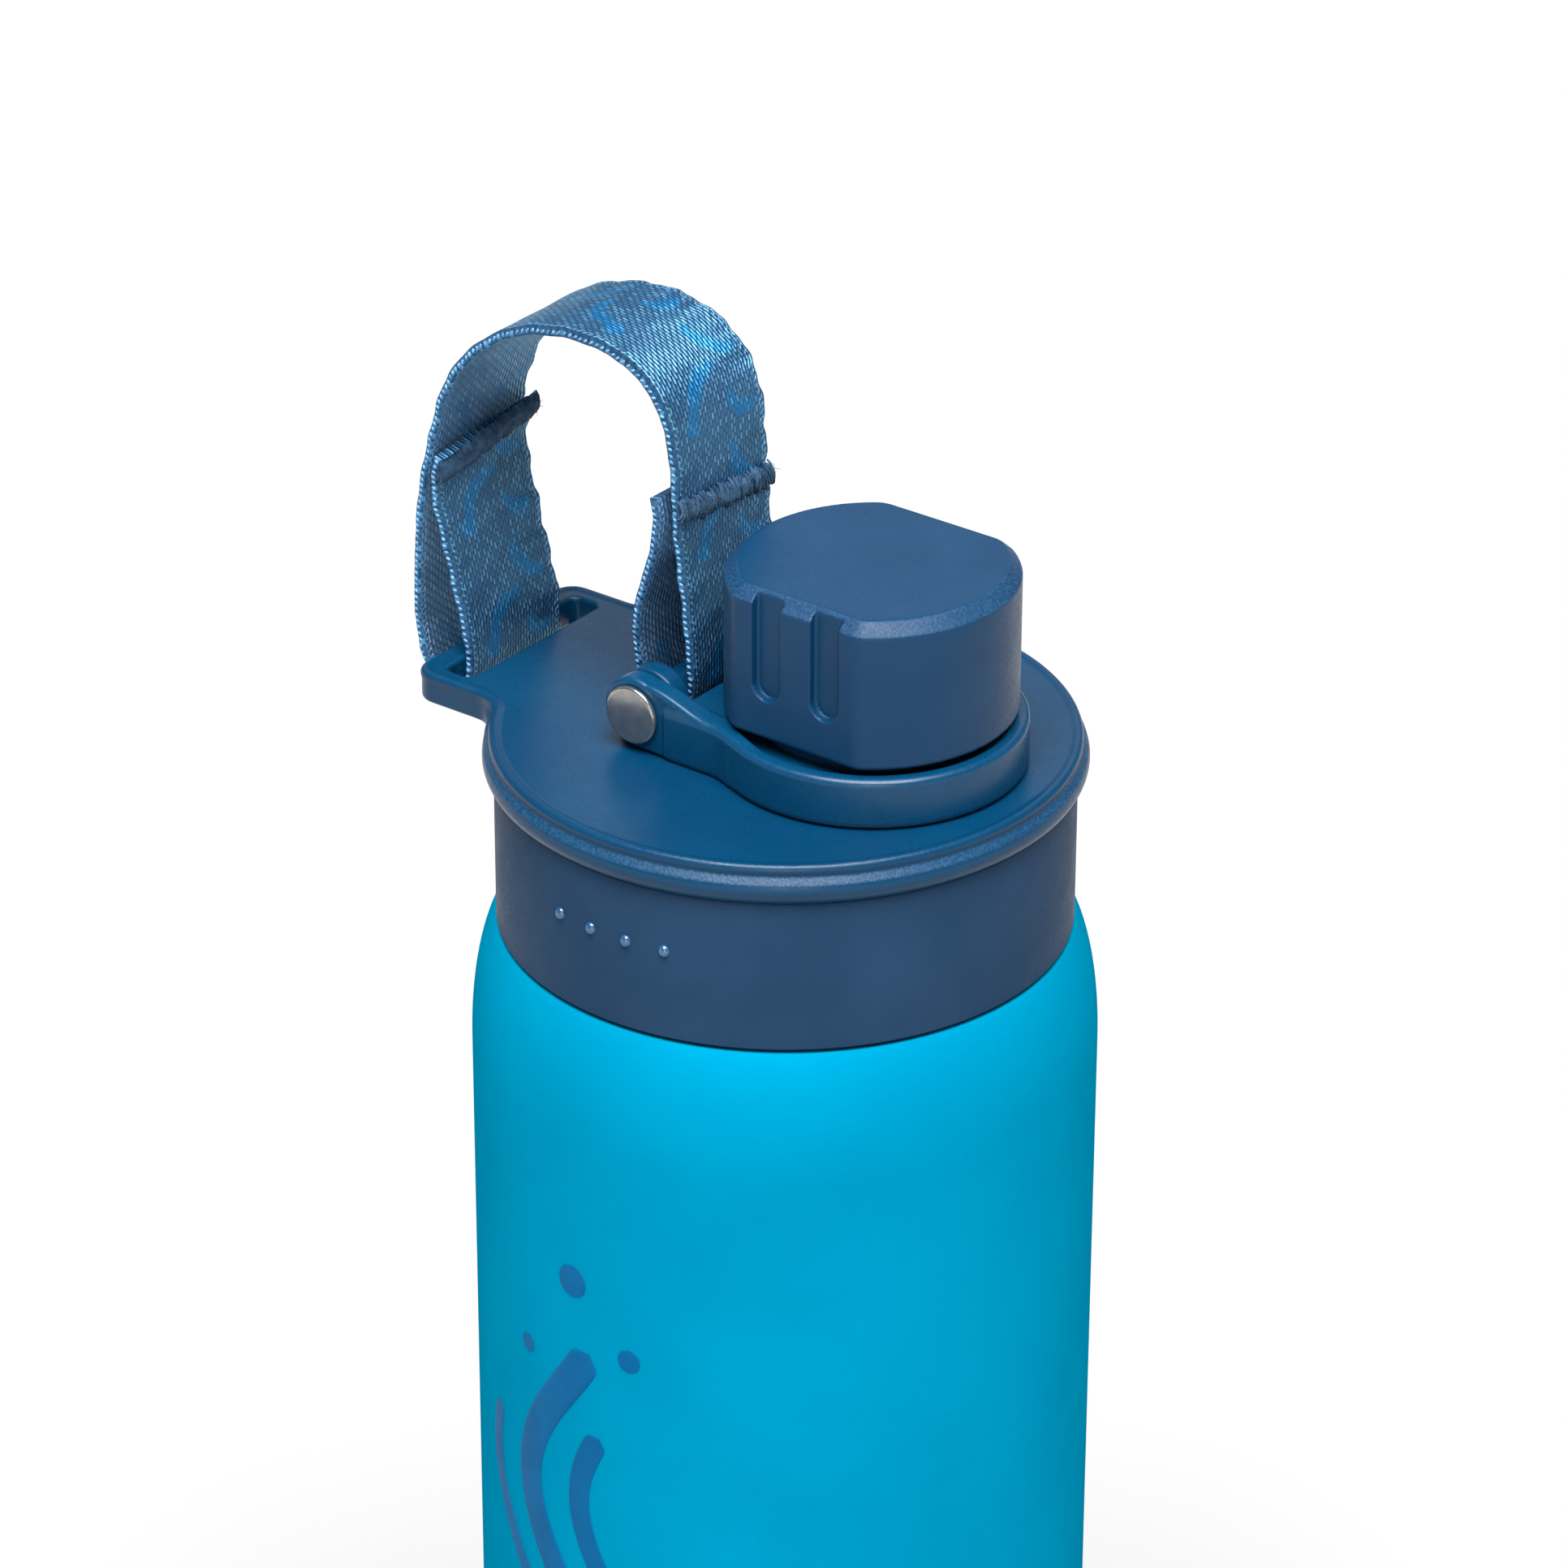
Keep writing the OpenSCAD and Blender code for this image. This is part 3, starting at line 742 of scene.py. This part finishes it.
def make_yoke():
    """The ring under the cap, with its two arms rising to the eyes on the hinge pin."""
    ring, half, eye, blend = 17.9, HINGE_W / 2, EYE_R, 8
    eye_in, back, bottom = 12.1, -5.7, 23.42
    cy = half + blend
    cx = math.sqrt((ring + blend) ** 2 - cy ** 2)
    low = [(PIN_X - eye, -half)] + [(SPOUT_X - cx + blend * math.cos(t), -cy + blend * math.sin(t))
                                    for t in np.linspace(math.pi / 2, math.atan2(cy, cx), 14)]
    low += [(SPOUT_X, -half), (SPOUT_X, 0), (back, 0), (back, -eye_in), (PIN_X - eye, -eye_in)]
    arm = table(low, -17, 34, -20, 3, 0.05)
    start, end, top = PIN_X + 1.6, 1.5, 29.5
    high = PIN_Z + math.sqrt(eye ** 2 - 1.6 ** 2)
    slope = [(start + (end - start) * i / 24, high + (top - high) * float(smooth(i / 24)))
             for i in range(24, -1, -1)]
    side = arc(PIN_X, PIN_Z, eye, math.degrees(math.acos(1.6 / eye)), 270, 40)
    side += [(-5, bottom), (14, bottom), (14, top)] + slope[:-1]
    profile = table(side, -17, 16, 22, 34, 0.05)

    def f(x, y, z):
        rho, out = np.hypot(x - SPOUT_X, y), np.abs(y)
        arm_plan, section = arm(x, -out), profile(x, z)
        plan = np.minimum(rho - ring, arm_plan)
        plan = np.minimum(plan, np.maximum(np.maximum(back - x, x - SPOUT_X), out - half))
        low_part = slab(np.maximum(plan, back - x), z, bottom, top, 0.75)
        band = np.maximum(arm_plan, 11.9 - out)
        eyes = slab(section, out, eye_in, half, 0.55)
        swept = smax(slab(section, out, eye_in, 19, 0.5), arm_plan, 1.0)
        arms = np.where(x < PIN_X + 4.2, eyes, smin(eyes, np.maximum(swept, band), 0.05))
        d = smin(low_part, arms, 0.9)
        bore = smax(d, 15.9 - rho, 0.6)
        ledge = slab(np.abs(rho - 14.9) - 2.0, z, 26.6, 28.2, 0.2)
        d = smin(bore, ledge, 0.3)
        return smax(d, 1.55 - np.hypot(x - PIN_X, z - PIN_Z), 0.2)

    yoke = distance_mesh("yoke", f, (-15.4, -18.6, 23), (30.8, 18.6, 33), 0.3,
                         0.6, YOKE)
    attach(yoke, "yoke")
    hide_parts("tether_yoke")


def make_rivet(name, node, sign):
    """A pin with its domed, satin head, turned about the hinge's axis."""
    tip, head_r = HINGE_W / 2 + 0.1, 3.5
    stem = [(0, 0), (1.5, 0), (1.5, tip)]
    if sign > 0:
        stem = [(0, tip - 6), (0.9, tip - 6), (0.9, tip)]
    head = arc(head_r - 0.32, tip + 0.32, 0.32, -90, 0, 5)
    head += arc(head_r - 0.34, tip + 0.38, 0.34, 0, 78, 7)
    dome = [(3.0 * k, tip + 0.72 + 0.1 * (1 - k * k)) for k in np.linspace(1, 0, 12)]
    v, faces = revolve(stem + head + dome, 72, closed=False)
    v = np.stack([PIN_X + v[:, 0], sign * v[:, 2], PIN_Z + v[:, 1]], 1)
    if sign < 0:
        faces = [f[::-1] for f in faces]
    rivet = add_mesh(name, v, faces, STEEL, flat_angle=32)
    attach(rivet, "lid")
    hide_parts(node)


def make_cap():
    """The grip shell: two curved sides, two flats with finger grooves, a chamfer and a skirt."""
    low, side, flat = 30.3, 17.2, 14.6
    steep, wide, groove_up, skirt, bore = 1.6, 1.7, 6.6, 13.1, 12.6

    def f(x, y, z):
        u = x - SPOUT_X
        plan = smax(np.hypot(u - 0.6, y) - side, np.hypot(u + 0.6, y) - side, 0.3)
        plan = smax(plan, np.abs(y) - flat, 0.5)
        chamfer = (plan * steep + (z - CAP_TOP + steep) * wide) / math.hypot(steep, wide)
        dome = z - CAP_TOP + 0.0006 * (u * u + y * y)
        d = smax(smax(plan, chamfer, 0.15), dome, 0.25)
        d = smax(d, low - z, 0.5)
        groove = np.hypot(np.abs(np.abs(u) - 4), np.maximum(low + groove_up - z, 0)) - 1.9
        groove = smax(groove, flat - 1.1 - np.abs(y), 0.2)
        d = smax(d, -groove, 0.18)
        d = smin(d, slab(np.hypot(u, y) - skirt, z, 28.5, 32, 0.2), 0.3)
        return smax(d, -np.maximum(np.hypot(u, y) - bore, z - 46.2), 0.2)

    cap = distance_mesh("cap", f, (SPOUT_X - 18, -15.2, 28), (SPOUT_X + 18, 15.2, 49), 0.3,
                        0.6, CAP)
    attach(cap, "cap")
    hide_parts("cap_shell")


make_body()
make_print()
make_collar()
make_lid()
make_yoke()
make_rivet("rivet_near", "hinge_pin", -1)
make_rivet("rivet_far", "hinge_pin_cap", 1)
make_cap()


# ---------------------------------------------------------------- carry strap


def webbing_face(name, column, dark, light, hollow_shade, drawn, highlight_from, shine, bright):
    """One face of the webbing: a close warp of slanted floats, with painted shade in the hollows
    between them and painted highlights on some of them, and the motif.
    """
    s = Look(name)
    cloth = s.node("Attribute", attribute_name="cloth").outputs["Vector"]
    u, v = s.node("SeparateXYZ", {0: cloth}).outputs[:2]
    sway = s.times(s.minus(s.noise(2.4, 2), 0.5), 0.3)
    col = s.math("DIVIDE", s.plus(v, sway), column)
    col_n = s.math("FLOOR", col)
    row = s.plus(s.math("DIVIDE", u, 1.1), s.times(col_n, 0.5))
    row_n, row_f = s.math("FLOOR", row), s.math("FRACT", row)
    col_f = s.math("FRACT", s.plus(col, s.times(s.minus(row_f, 0.5), 0.22)))
    hu = s.math("SINE", s.times(row_f, math.pi))
    hv = s.math("SINE", s.times(col_f, math.pi))
    float_up = s.times(s.ranged(hu, 0.05, 0.75), hv)
    pick = s.node("CombineXYZ", {0: row_n, 1: col_n}).outputs[0]
    chance = s.node("TexWhiteNoise", {"Vector": pick}, noise_dimensions="2D").outputs[0]
    fibre = s.noise(0.09, 2)
    base = s.mix(s.ranged(s.noise(7, 3), 0.3, 0.7), dark, light)
    # Painted shade: the ground, and the motif below, are darker in the hollows between the floats.
    base = s.mix(s.times(s.minus(1.0, float_up), 0.6), base, hollow_shade)
    base = s.mix(s.times(motif(s, u, v), drawn), base,
                 s.mix(float_up, colour(0, 84, 136), colour(4, 110, 170)))
    # Painted highlights: some raised floats, picked at random, are lightened toward the bright
    # colour by the shine share.
    painted_highlight = s.times(s.ranged(float_up, 0.55, 0.9), s.ranged(chance, highlight_from, 0.95))
    base = s.mix(s.times(painted_highlight, shine), base, bright)
    edge = s.math("ABSOLUTE", v)
    slant = s.math("FRACT", s.plus(s.math("DIVIDE", u, STITCH_GAP), s.times(edge, 0.9)))
    strip = s.times(s.ranged(edge, 7.3, 7.45), s.ranged(edge, 7.8, 7.95, 1, 0))
    dash = s.ranged(s.math("ABSOLUTE", s.minus(slant, 0.5)), 0.12, 0.24, 1.0, 0.0)
    dash = s.times(strip, dash)
    base = s.mix(s.times(dash, 0.6), base, colour(116, 176, 216))
    height = s.plus(s.times(hv, hv), s.times(hu, 0.35))
    height = s.plus(s.plus(height, s.times(fibre, 0.15)), s.times(dash, 0.5))
    return s.surface(Base_Color=base, Roughness=s.ranged(fibre, 0.3, 0.7, 0.3, 0.42),
                     Metallic=0.5, Specular_IOR_Level=1.0, Specular_Tint=(0.5, 0.9, 1, 1),
                     Normal=s.bump(height, 0.13))


def webbing():
    """The materials of the webbing's two faces, outer face first."""
    return (webbing_face("webbing_outside", 0.5, colour(42, 88, 130), colour(52, 100, 144),
                         colour(12, 34, 60), 0.9, 0.3, 0.5, colour(112, 180, 222)),
            # The inside face's ground colours are painted lighter than the outside's: painted light
            # making up for the shade under the loop.
            webbing_face("webbing_inside", 0.6, colour(88, 128, 168), colour(98, 140, 182),
                         colour(34, 58, 88), 0.45, 0.5, 0.6, colour(144, 182, 214)))


def motif(s, u, v):
    """Plain slanted strokes and dots, woven in along the webbing."""
    period = 15.0
    along = s.times(s.math("FRACT", s.math("DIVIDE", u, period)), period)
    wobble = s.times(s.minus(s.noise(0.7, 2), 0.5), 0.9)
    total = None
    for cu, cv, long, turn, half in ((3.4, 3.2, 2.6, 38, 0.95), (7.6, -2.6, 3.4, -42, 0.95),
                                     (11.6, 4.0, 1.4, 62, 0.9), (11.2, -4.6, 0.0, 0, 1.15)):
        du, dv = s.minus(along, cu), s.minus(v, cv)
        c, n = math.cos(math.radians(turn)), math.sin(math.radians(turn))
        bend = 0.11 if long > 2 else 0.2
        a = s.plus(s.times(du, c), s.times(dv, n))
        b = s.minus(s.times(dv, c), s.times(du, n))
        b = s.minus(b, s.times(s.times(a, a), bend))
        a = s.math("MAXIMUM", s.minus(s.math("ABSOLUTE", a), long), 0.0)
        far = s.math("SQRT", s.plus(s.times(a, a), s.times(b, b)))
        inside = s.ranged(s.plus(far, wobble), half - 0.2, half + 0.2, 1.0, 0.0)
        total = inside if total is None else s.math("MAXIMUM", total, inside)
    return total


def side_outline():
    """The closed outline, in X and Z, of the side face of the webbing's CAD solid."""
    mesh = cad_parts["carry_strap"].data
    co = np.array([v.co for v in mesh.vertices]) / MM
    side = co[:, 1].max() - 0.01
    numbers = {}
    merged = [numbers.setdefault(tuple(p), len(numbers)) for p in np.round(co, 2)]
    spots = np.array(list(numbers))[:, [0, 2]]
    uses = {}
    for face in mesh.polygons:
        if all(co[i, 1] > side for i in face.vertices):
            ids = [merged[i] for i in face.vertices]
            for a, b in zip(ids, ids[1:] + ids[:1]):
                key = frozenset((a, b))
                uses[key] = uses.get(key, 0) + 1
    links = {}
    for key, n in uses.items():
        if n == 1 and len(key) == 2:
            a, b = key
            links.setdefault(a, []).append(b)
            links.setdefault(b, []).append(a)
    loop, last = [min(links)], None
    while len(loop) <= len(links):
        ahead = [k for k in links[loop[-1]] if k != last][0]
        last = loop[-1]
        if ahead == loop[0] and len(loop) > 2:
            break
        loop.append(ahead)
    return spots[loop]


def middle_line(ring):
    """The line halfway between the outline's two long sides, starting at the tab."""
    n = len(ring) // 2
    best = None
    for s in range(len(ring)):
        a = ring[(s + np.arange(n)) % len(ring)]
        b = ring[(s - 1 - np.arange(n)) % len(ring)]
        spread = np.linalg.norm(a - b, axis=1).std()
        middle = (a + b) / 2
        if middle[0, 0] < -30 and (best is None or spread < best[0]):
            best = (spread, middle)
    return best[1]


def strap_route():
    """The webbing's middle line, from the collar up, with its loop bulged a little at the top."""
    route = middle_line(side_outline())
    route[:, 1] -= COLLAR_Z
    high = smooth((route[:, 1] - 48) / 14)
    route[:, 0] += 0.8 * high * smooth((route[:, 0] + 28) / 14)
    route[:, 1] += 0.5 * high
    return route


def even(route, step=0.2, soft=1.3):
    """The route resampled evenly and smoothed, with its length along, directions and normals."""
    far = np.concatenate([[0], np.cumsum(np.linalg.norm(np.diff(route, axis=0), axis=1))])
    s = np.linspace(0, far[-1], int(far[-1] / step) + 1)
    p = np.stack([np.interp(s, far, route[:, k]) for k in (0, 1)], 1)
    reach = int(3 * soft / step)
    kernel = np.exp(-0.5 * (np.arange(-reach, reach + 1) * step / soft) ** 2)
    kernel /= kernel.sum()
    head = 2 * p[0] - p[reach:0:-1]
    foot = 2 * p[-1] - p[-2:-reach - 2:-1]
    p = np.stack([np.convolve(np.concatenate([head, p, foot])[:, k], kernel, "valid")
                  for k in (0, 1)], 1)
    d = np.gradient(p, axis=0)
    d /= np.linalg.norm(d, axis=1)[:, None]
    return s, p, d, np.stack([-d[:, 1], d[:, 0]], 1)


ROUTE = strap_route()
STRAP_W = box_mm("carry_strap")[1][1] * 2
STRAP_T = 1.15
STITCH_GAP = 0.78


def strap_place(s_at, v, w):
    """Points of the webbing, s_at along it, v across it and w out of its outer face.

    It ripples a little, its edges wander, and its tab end is cut aslant. Also gives its length."""
    s, p, d, n = even(ROUTE)
    total = s[-1]
    inner = smooth((s_at - (total - 27)) / 14)
    start = 1 - smooth(s_at / 11)
    s_shift = s_at - v * 0.113 * start
    at = np.clip(s_shift, 0, total)
    beyond = s_shift - at
    x = np.interp(at, s, p[:, 0]) + np.interp(at, s, d[:, 0]) * beyond
    z = np.interp(at, s, p[:, 1]) + np.interp(at, s, d[:, 1]) * beyond
    nx, nz = np.interp(at, s, n[:, 0]), np.interp(at, s, n[:, 1])
    wave = 0.05 * np.sin(s_at * 1.3 + v * 0.6) + 0.06 * np.sin(s_at * 0.41 - v * 0.33)
    side = np.where(v > 0, 0.026, 0.008) * v
    v = v + side * (np.sin(s_at * 1.14) + 0.4 * np.sin(s_at * 2.7 + 1))
    x, z = x + nx * (w + wave), z + nz * (w + wave)
    return np.stack([x, v - 1.5 * inner, z], -1), total


def make_strap():
    """The webbing as one ribbon with rounded edges and a material on each face."""
    half, t, r, across = STRAP_W / 2, STRAP_T / 2, 0.42, 31
    edge = np.radians([25, 50, 75])
    v = list(np.linspace(-half + r, half - r, across)) + list(half - r + r * np.sin(edge))
    w = [t] * across + list(t - r + r * np.cos(edge))
    v, w = np.array(v + [-a for a in v]), np.array(w + [-a for a in w])
    total = strap_place(np.zeros(1), np.zeros(1), np.zeros(1))[1]
    stations = np.linspace(0, total, int(total / (0.45)) + 1)
    ss, vv = np.meshgrid(stations, v, indexing="ij")
    ww = np.broadcast_to(w, ss.shape)
    verts, _ = strap_place(ss.ravel(), vv.ravel(), ww.ravel())
    m, n = len(v), len(stations)
    faces = [[i * m + k, i * m + (k + 1) % m, (i + 1) * m + (k + 1) % m, (i + 1) * m + k]
             for i in range(n - 1) for k in range(m)]
    back = [0 < k - across - 2 < across + 1 for i in range(n - 1) for k in range(m)]
    faces += [list(range(m))[::-1], [(n - 1) * m + k for k in range(m)]]
    strap = add_mesh("strap", verts, faces, flat_angle=60)
    for look in webbing():
        strap.data.materials.append(look)
    strap.data.polygons.foreach_set("material_index",
                                    np.array(back + [False, False], np.int32))
    cloth = strap.data.attributes.new("cloth", "FLOAT_VECTOR", "POINT")
    cloth.data.foreach_set("vector", np.stack([ss, vv, ww], -1).astype(np.float32).ravel())
    beads = make_selvedge(total)
    for piece in (strap, beads):
        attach(piece, "lid")
        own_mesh(piece)
    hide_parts("carry_strap")


def make_selvedge(total):
    """The light edge stitches along both sides of the webbing."""
    count = int(total / STITCH_GAP)
    rng = np.random.default_rng(4)
    a, b = np.meshgrid(np.radians(np.linspace(-90, 90, 6)), np.radians(np.arange(0, 360, 51.43)),
                       indexing="ij")
    ball = np.stack([np.cos(a) * np.cos(b), np.sin(a), np.cos(a) * np.sin(b)], -1).reshape(-1, 3)
    cols, rows = a.shape[1], a.shape[0]
    quads = [[i * cols + k, i * cols + (k + 1) % cols, (i + 1) * cols + (k + 1) % cols,
              (i + 1) * cols + k] for i in range(rows - 1) for k in range(cols)]
    ss, vv, ww, faces = [], [], [], []
    for sign in (-1, 1):
        for i in range(count):
            lean = math.radians(34 + rng.normal(0, 6))
            along, out, up = ball[:, 0] * 0.17, ball[:, 1] * 0.18, ball[:, 2] * 0.34
            turned = along * math.cos(lean) + up * math.sin(lean)
            up = up * math.cos(lean) - along * math.sin(lean)
            at = len(ss) * len(ball)
            ss.append((i + 0.5) * STITCH_GAP + turned + rng.normal(0, 0.02))
            vv.append(sign * (STRAP_W / 2 - 0.1) + out)
            ww.append(up)
            faces += [[k + at for k in q] for q in quads]
    verts, _ = strap_place(np.concatenate(ss), np.concatenate(vv), np.concatenate(ww))
    s = Look("selvedge")
    tone = s.mix(s.ranged(s.noise(0.5, 2), 0.35, 0.65), colour(52, 106, 150),
                 colour(96, 154, 196))
    look = s.surface(Base_Color=tone, Roughness=s.ranged(s.noise(0.1, 2), 0.3, 0.7, 0.35, 0.5),
                     Sheen_Weight=0.3, Normal=s.bump(s.noise(0.08, 2), 0.02))
    return add_mesh("strap_selvedge", verts, faces, look)


def thread_look():
    """Slate stitching thread, with lighter fibres."""
    s = Look("stitching")
    fine = s.noise(0.12, 3, (1, 1, 0.35))
    tone = s.mix(s.ranged(s.noise(1.3, 3), 0.35, 0.7), colour(20, 46, 73), colour(50, 81, 110))
    tone = s.mix(s.ranged(fine, 0.6, 0.76, 0, 0.55), tone, colour(106, 142, 172))
    return s.surface(Base_Color=tone, Roughness=s.ranged(fine, 0.3, 0.7, 0.4, 0.62),
                     Sheen_Weight=0.15, Sheen_Roughness=0.4, Sheen_Tint=(0.5, 0.85, 1, 1),
                     Specular_IOR_Level=0.2, Normal=s.bump(fine, 0.09))


def make_bartack(name, node, s_mid, slope, long, proud, tail, knots, seed):
    """A dense bar of stitches across the webbing: a padded core, arched threads and some fuzz.

    It is long along the webbing and rises proud of it, and its tail reaches past one edge."""
    rng = np.random.default_rng(seed)
    half = STRAP_W / 2
    lie = (0.9, 0.15, 0.4)
    across = np.linspace(-half + 0.05, half + tail, 120)
    turn = np.radians(np.linspace(0, 180, 15))
    vv, tt = np.meshgrid(across, turn, indexing="ij")
    ends = np.sqrt(np.clip(np.minimum(vv - across[0], across[-1] - vv) / 0.7, 0.02, 1))
    lump = 1 + knots * (0.5 * np.sin(vv * 2.1 + seed) + 0.5 * np.sin(vv * 5.3 + tt * 2))
    ss = s_mid + slope * vv + long / 2 * np.cos(tt) * (0.7 + 0.3 * ends) \
        + 0.12 * np.sin(vv * 1.9 + seed)
    ww = STRAP_T / 2 - 0.25 + proud * np.sin(tt) ** 0.8 * ends * lump
    verts, _ = strap_place(ss.ravel(), vv.ravel(), ww.ravel())
    m = len(turn)
    faces = [[i * m + k, (i + 1) * m + k, (i + 1) * m + (k + 1) % m, i * m + (k + 1) % m]
             for i in range(len(across) - 1) for k in range(m)]
    faces += [list(range(m)), [(len(across) - 1) * m + k for k in range(m)][::-1]]
    parts = [(verts, faces)]
    k = np.linspace(-1, 1, 9)
    for layer, (pitch, radius) in enumerate(((0.3, 0.16), (0.42, 0.13))):
        for v0 in np.arange(-half + 0.2, half + tail - 0.2, pitch):
            lean = rng.normal(0, 0.25) + (0.5 if layer else -0.2)
            reach = long / 2 * (1.04 + rng.normal(0, 0.05 + knots * 0.3))
            s = s_mid + slope * v0 + k * reach + rng.normal(0, 0.05 + knots * 0.3) \
                + 0.12 * math.sin(v0 * 1.9 + seed)
            v = v0 + k * lean * 0.5
            w = STRAP_T / 2 - 0.2 + (proud + 0.06) * np.clip(1 - k ** 2, 0, 1) ** 0.4 \
                * (1 + rng.normal(0, 0.02 + knots * 0.35))
            path, _ = strap_place(s, v, w)
            parts.append(tube(path, radius * (1 - 0.3 * k ** 4), 6, lie))
    for _ in range(170):
        v0 = rng.uniform(-half + 0.1, half + tail - 0.1)
        start = s_mid + slope * v0 + rng.uniform(-0.55, 0.3) * long
        q = np.linspace(0, 1, 4)
        rise = STRAP_T / 2 + proud * 0.75
        path, _ = strap_place(start - q * rng.uniform(-0.5, 0.8),
                              v0 + q * rng.normal(0, 0.5), rise + q * rng.uniform(0, 0.5))
        parts.append(tube(path, 0.035 * (1 - 0.5 * q), 4, lie))
    tack = add_mesh(name, *joined(*parts), STITCHES, flat_angle=70)
    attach(tack, "lid")
    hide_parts(node)
    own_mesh(tack)


def station_at(z, x_low, x_high):
    """How far along the webbing its middle line is at height z, between two X values."""
    s, p, _, _ = even(ROUTE)
    fits = np.where((p[:, 0] > x_low) & (p[:, 0] < x_high), np.abs(p[:, 1] - z), 1e9)
    return s[int(np.argmin(fits))]


STITCHES = thread_look()
make_strap()
make_bartack("bartack_tab", "bartack_tab_end", 1.3, -0.113, 3.3, 0.8, 0.12, 0.04, 7)
make_bartack("bartack_hinge", "bartack_hinge_end", station_at(50.2, -10.4, -8.2), 0.07, 2.6, 0.7,
             0.8, 0.34, 8)


# ---------------------------------------------------------------- stage and lights


def make_stage():
    """A plain pale floor with painted shade round the bottle, under an even white sky."""
    half = 12000
    v = [(-half, -half, 0), (half, -half, 0), (half, half, 0), (-half, half, 0)]
    s = Look("floor")
    away = s.node("VectorMath", {0: s.mm}, operation="LENGTH").outputs["Value"]
    # Painted shade: the floor is darker near the bottle, fading out between 0.3 m and 1.3 m from
    # it.
    tone = s.mix(s.ranged(away, 300, 1300), (0.36, 0.36, 0.36, 1), (0.43, 0.43, 0.43, 1))
    tone = s.mix(s.times(s.noise(400, 2), 0.04), tone, (0.6, 0.6, 0.6, 1))
    floor = add_mesh("floor", v, [[0, 1, 2, 3]], s.surface(Base_Color=tone, Roughness=0.9),
                     lift=False)
    world = bpy.data.worlds.new("studio")
    bpy.context.scene.world = world
    world.use_nodes = True
    back = world.node_tree.nodes["Background"]
    back.inputs[0].default_value = (1, 1, 1, 1)
    back.inputs[1].default_value = 0.18


def area_light(name, azimuth, elevation, distance, size, power):
    """A soft light aimed at the bottle's upper half, its azimuth counted from the front."""
    a, e = math.radians(azimuth), math.radians(elevation)
    way = Vector((math.sin(a) * math.cos(e), -math.cos(a) * math.cos(e), math.sin(e)))
    data = bpy.data.lights.new(name, "AREA")
    data.shape = "RECTANGLE"
    data.size, data.size_y = size
    data.energy = power
    light = bpy.data.objects.new(name, data)
    bpy.context.scene.collection.objects.link(light)
    light.location = Vector((0, 0, 0.2)) + way * distance
    light.rotation_mode = "QUATERNION"
    light.rotation_quaternion = (-way).to_track_quat("-Z", "Y")


make_stage()
area_light("key", 37, 70, 7, (6.1, 5.1), 1700)
area_light("back", 217, 32, 7, (6, 3), 42)
area_light("front", 37, 12, 2.4, (0.8, 1.3), 13)
bpy.context.scene.view_settings.view_transform = "Standard"
